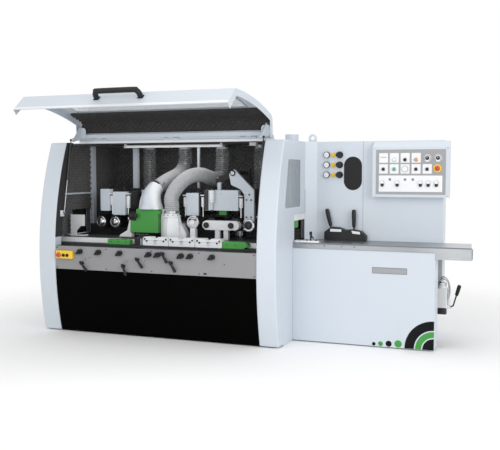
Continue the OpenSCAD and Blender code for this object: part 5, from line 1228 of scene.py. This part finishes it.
def console_devices(y):
    """Meter marks, buttons, dials and switches in front of the console's face."""
    form = Form()
    face = y - 2
    low, high = 1478, 1562
    for x0, z0, x1, z1 in ((2962, 12, 2984, 12), (2984, 12, 2990, 20), (2990, 12, 3016, 12)):
        form.tube([(x0, face - 0.6, high + z0), (x1, face - 0.6, high + z1)], 1.3, "black_plastic", 6)
    for x, z, paint in ((3081, high - 8, "face_white"), (3173, high - 8, "black_plastic"),
                        (3266, high - 8, "lamp_orange"), (2989, low - 4, "black_plastic"),
                        (3081, low - 4, "lamp_green"), (3266, low - 4, "black_plastic"),
                        (3359, low - 4, "black_plastic")):
        console_button(form, x, face, z, paint)
    form.lathe((3173, face, low - 2), FRONT, [(26, 0), (26, 8), (24, 10), (23, 8)], "steel", 30)
    form.lathe((3173, face, low - 2), FRONT, [(23.4, 0), (23.4, 8.4)], "face_white", 30)
    for x in (3359, 3447):
        form.lathe((x, y - 1, 1567), FRONT, [(32, 0), (32, 4), (30, 5.5)], "face_white", 36)
        ring = [(a, y - 7, b) for a, b in arc(x, 1567, 27, -50, 230, 20)]
        form.tube(ring, 1.6, "black_plastic", 6)
        form.lathe((x, y - 5, 1567), FRONT, [(17, 0), (17, 4), (13, 6), (13, 18), (11, 19.5)], "dark_steel", 28)
        form.block((x - 1.6, y - 26.5, 1567), (x + 1.6, y - 24, 1577), "face_white")
    for x in (2981, 3109, 3305, 3370, 3437):
        form.prism(oval(x, 1351, 13, 16, 14), "y", face - 8, face, "steel")
        on = arc(x, 1351 + 13, 13, 0, 180, 12) + [(x - 13, 1352.5), (x + 13, 1352.5)]
        off = arc(x, 1351 - 13, 13, 180, 360, 12) + [(x + 13, 1349.5), (x - 13, 1349.5)]
        form.prism(on, "y", face - 15, face - 7, "face_white")
        form.prism(off, "y", face - 14, face - 7, "black_plastic")
    for x in (3045, 3174, 3240):
        form.prism(rounded((x - 10, 1376), (x + 10, 1396), 2), "y", face - 0.6, face, "seam")
    piece("console_devices", form, "black_plastic", hides=("panel_instruments",))


class MOULDER_OT_console(bpy.types.Operator):
    """Lay out the operator console's face with its meter, lamps, dials and buttons"""

    bl_idname = "moulder.console"
    bl_label = "Console"

    def execute(self, context):
        face = Form()
        y = 331
        face.prism(rounded((2924, 1259), (3511, 1639), 4), "y", y - 1, y + 0.2, "face_silver")
        columns = (2989, 3081, 3173, 3266, 3359)
        for x in columns[:4]:
            face.prism(rounded((x - 38, 1528), (x + 38, 1610), 4), "y", y - 2, y - 0.8, "face_white")
        for x in columns:
            face.prism(rounded((x - 38, 1436), (x + 38, 1516), 4), "y", y - 2, y - 0.8, "face_white")
        face.prism(rounded((2950, 1282), (3485, 1420), 4), "y", y - 2, y - 0.8, "face_white")
        plate = piece("console_face", face, "panel_paint")
        ring = Form()
        ring.lathe((3443, y - 1, 1480), FRONT, [(33, 0), (33, 3), (31, 4)], "yellow_paint", 36)
        collar = piece("console_stop_ring", ring, "yellow_paint")
        # The stop's cap dips into this opening when it is pressed
        for obj in (plate, collar):
            well = Form()
            well.lathe((3443, y + 6, 1480), FRONT, [(21, 0), (21, 20)], "yellow_paint", 36)
            cut(obj, well)
        console_devices(y)
        corners = [(x, 327.2, z) for x in (2909, 3526) for z in (1248, 1648)]
        screws("console_screws", corners, "steel", 0.006, 0.003)
        return {"FINISHED"}


def white_surround(scene):
    """White surround that lights the machine a little less than it shows."""
    scene.world = bpy.data.worlds.new("surround")
    scene.world.use_nodes = True
    tree = scene.world.node_tree
    nodes, link = tree.nodes, tree.links.new
    nodes.clear()
    path, mix, out = (nodes.new("ShaderNode" + kind) for kind in ("LightPath", "MixShader", "OutputWorld"))
    rays = maths(tree, "MAXIMUM", path.outputs["Is Camera Ray"], path.outputs["Is Glossy Ray"])
    link(maths(tree, "MAXIMUM", rays, path.outputs["Is Transmission Ray"]), mix.inputs[0])
    for socket, strength in zip(mix.inputs[1:], (0.74, 1.0)):
        shade = nodes.new("ShaderNodeBackground")
        preset(shade, Color=(1, 1, 1, 1), Strength=strength)
        link(shade.outputs[0], socket)
    link(mix.outputs[0], out.inputs[0])


def floor_finish():
    """Pale floor that fades out away from the machine."""
    mat = bpy.data.materials.new("pale_floor")
    mat.use_nodes = True
    shader = mat.node_tree.nodes["Principled BSDF"]
    preset(shader, Base_Color=(0.93, 0.93, 0.93, 1), Roughness=0.9, Specular_IOR_Level=0.1)
    nodes, link = mat.node_tree.nodes, mat.node_tree.links.new
    coords, reach, fade = (nodes.new("ShaderNode" + kind) for kind in ("TexCoord", "VectorMath", "MapRange"))
    reach.operation = "LENGTH"
    fade.interpolation_type = "SMOOTHSTEP"
    preset(fade, From_Min=1.7, From_Max=4.4, To_Min=1.0, To_Max=0.0)
    link(coords.outputs["Object"], reach.inputs[0])
    link(reach.outputs["Value"], fade.inputs["Value"])
    link(fade.outputs["Result"], shader.inputs["Alpha"])
    return mat


def area_light(name, where, size, power, aim=(0, 0, 0.9)):
    """Square soft light aimed at a point."""
    data = bpy.data.lights.new(name, "AREA")
    data.size = size
    data.energy = power
    lamp = placed(name, data)
    lamp.location = where
    lamp.rotation_euler = (Vector(aim) - Vector(where)).to_track_quat("-Z", "Y").to_euler()


class MOULDER_OT_stage(bpy.types.Operator):
    """Set the floor, soft lights, white surround and camera"""

    bl_idname = "moulder.stage"
    bl_label = "Stage"

    def execute(self, context):
        scene = context.scene
        scene.view_settings.view_transform = "Standard"
        white_surround(scene)
        floor_mesh = bpy.data.meshes.new("floor")
        floor_mesh.from_pydata([(-30, -30, 0), (30, -30, 0), (30, 30, 0), (-30, 30, 0)], [], [(0, 1, 2, 3)])
        floor_mesh.materials.append(floor_finish())
        floor = placed("floor", floor_mesh)
        area_light("key_light", (-2.6, -5.2, 4.6), 3.4, 44)
        area_light("fill_light", (5.6, -3.6, 2.6), 3.0, 125)
        area_light("top_light", (0.2, 0.2, 5.5), 4.0, 44)
        area_light("inside_light", (0.2, -3.4, 1.3), 1.6, 15)
        area_light("lamp_glow", tuple(at(1065, 150, 1668)), 0.9, 2.2, at(1065, 190, 900))
        data = bpy.data.cameras.new("camera")
        sensor, focal_px, picture_px = 36, 793.96, 500
        data.sensor_width = sensor
        data.lens = focal_px / picture_px * sensor
        camera = placed("camera", data)
        camera.location = at(4417.9, -6427.2, 1454.5)
        camera.rotation_euler = (math.radians(90 - 3.86), 0, math.radians(21.46))
        data.clip_end = 200
        scene.camera = camera
        return {"FINISHED"}


class MOULDER_PT_panel(bpy.types.Panel):
    """Shows the machine's colour and size settings and the buttons of its building steps"""

    bl_idname = "MOULDER_PT_panel"
    bl_label = "Four sided moulder"
    bl_space_type = "VIEW_3D"
    bl_region_type = "UI"
    bl_category = "Moulder"

    def draw(self, context):
        settings = context.scene.moulder
        for group in (settings.colours, settings.sizes):
            for key in group.__annotations__:
                self.layout.prop(group, key)
        for step in STEPS:
            self.layout.operator(step.bl_idname)


STEPS = (MOULDER_OT_finishes, MOULDER_OT_enclosure, MOULDER_OT_foam, MOULDER_OT_hoses, MOULDER_OT_hood,
         MOULDER_OT_heads, MOULDER_OT_feed, MOULDER_OT_front_controls, MOULDER_OT_infeed, MOULDER_OT_console,
         MOULDER_OT_stage)
CLASSES = (MoulderColours, MoulderSizes, MoulderSettings, *STEPS, MOULDER_PT_panel)


def register():
    for cls in CLASSES:
        bpy.utils.register_class(cls)
    bpy.types.Scene.moulder = bpy.props.PointerProperty(type=MoulderSettings)


def unregister():
    del bpy.types.Scene.moulder
    for cls in reversed(CLASSES):
        bpy.utils.unregister_class(cls)


def main():
    register()
    for name in (step.bl_idname.split(".")[1] for step in STEPS):
        getattr(bpy.ops.moulder, name)()


if __name__ == "__main__":
    main()
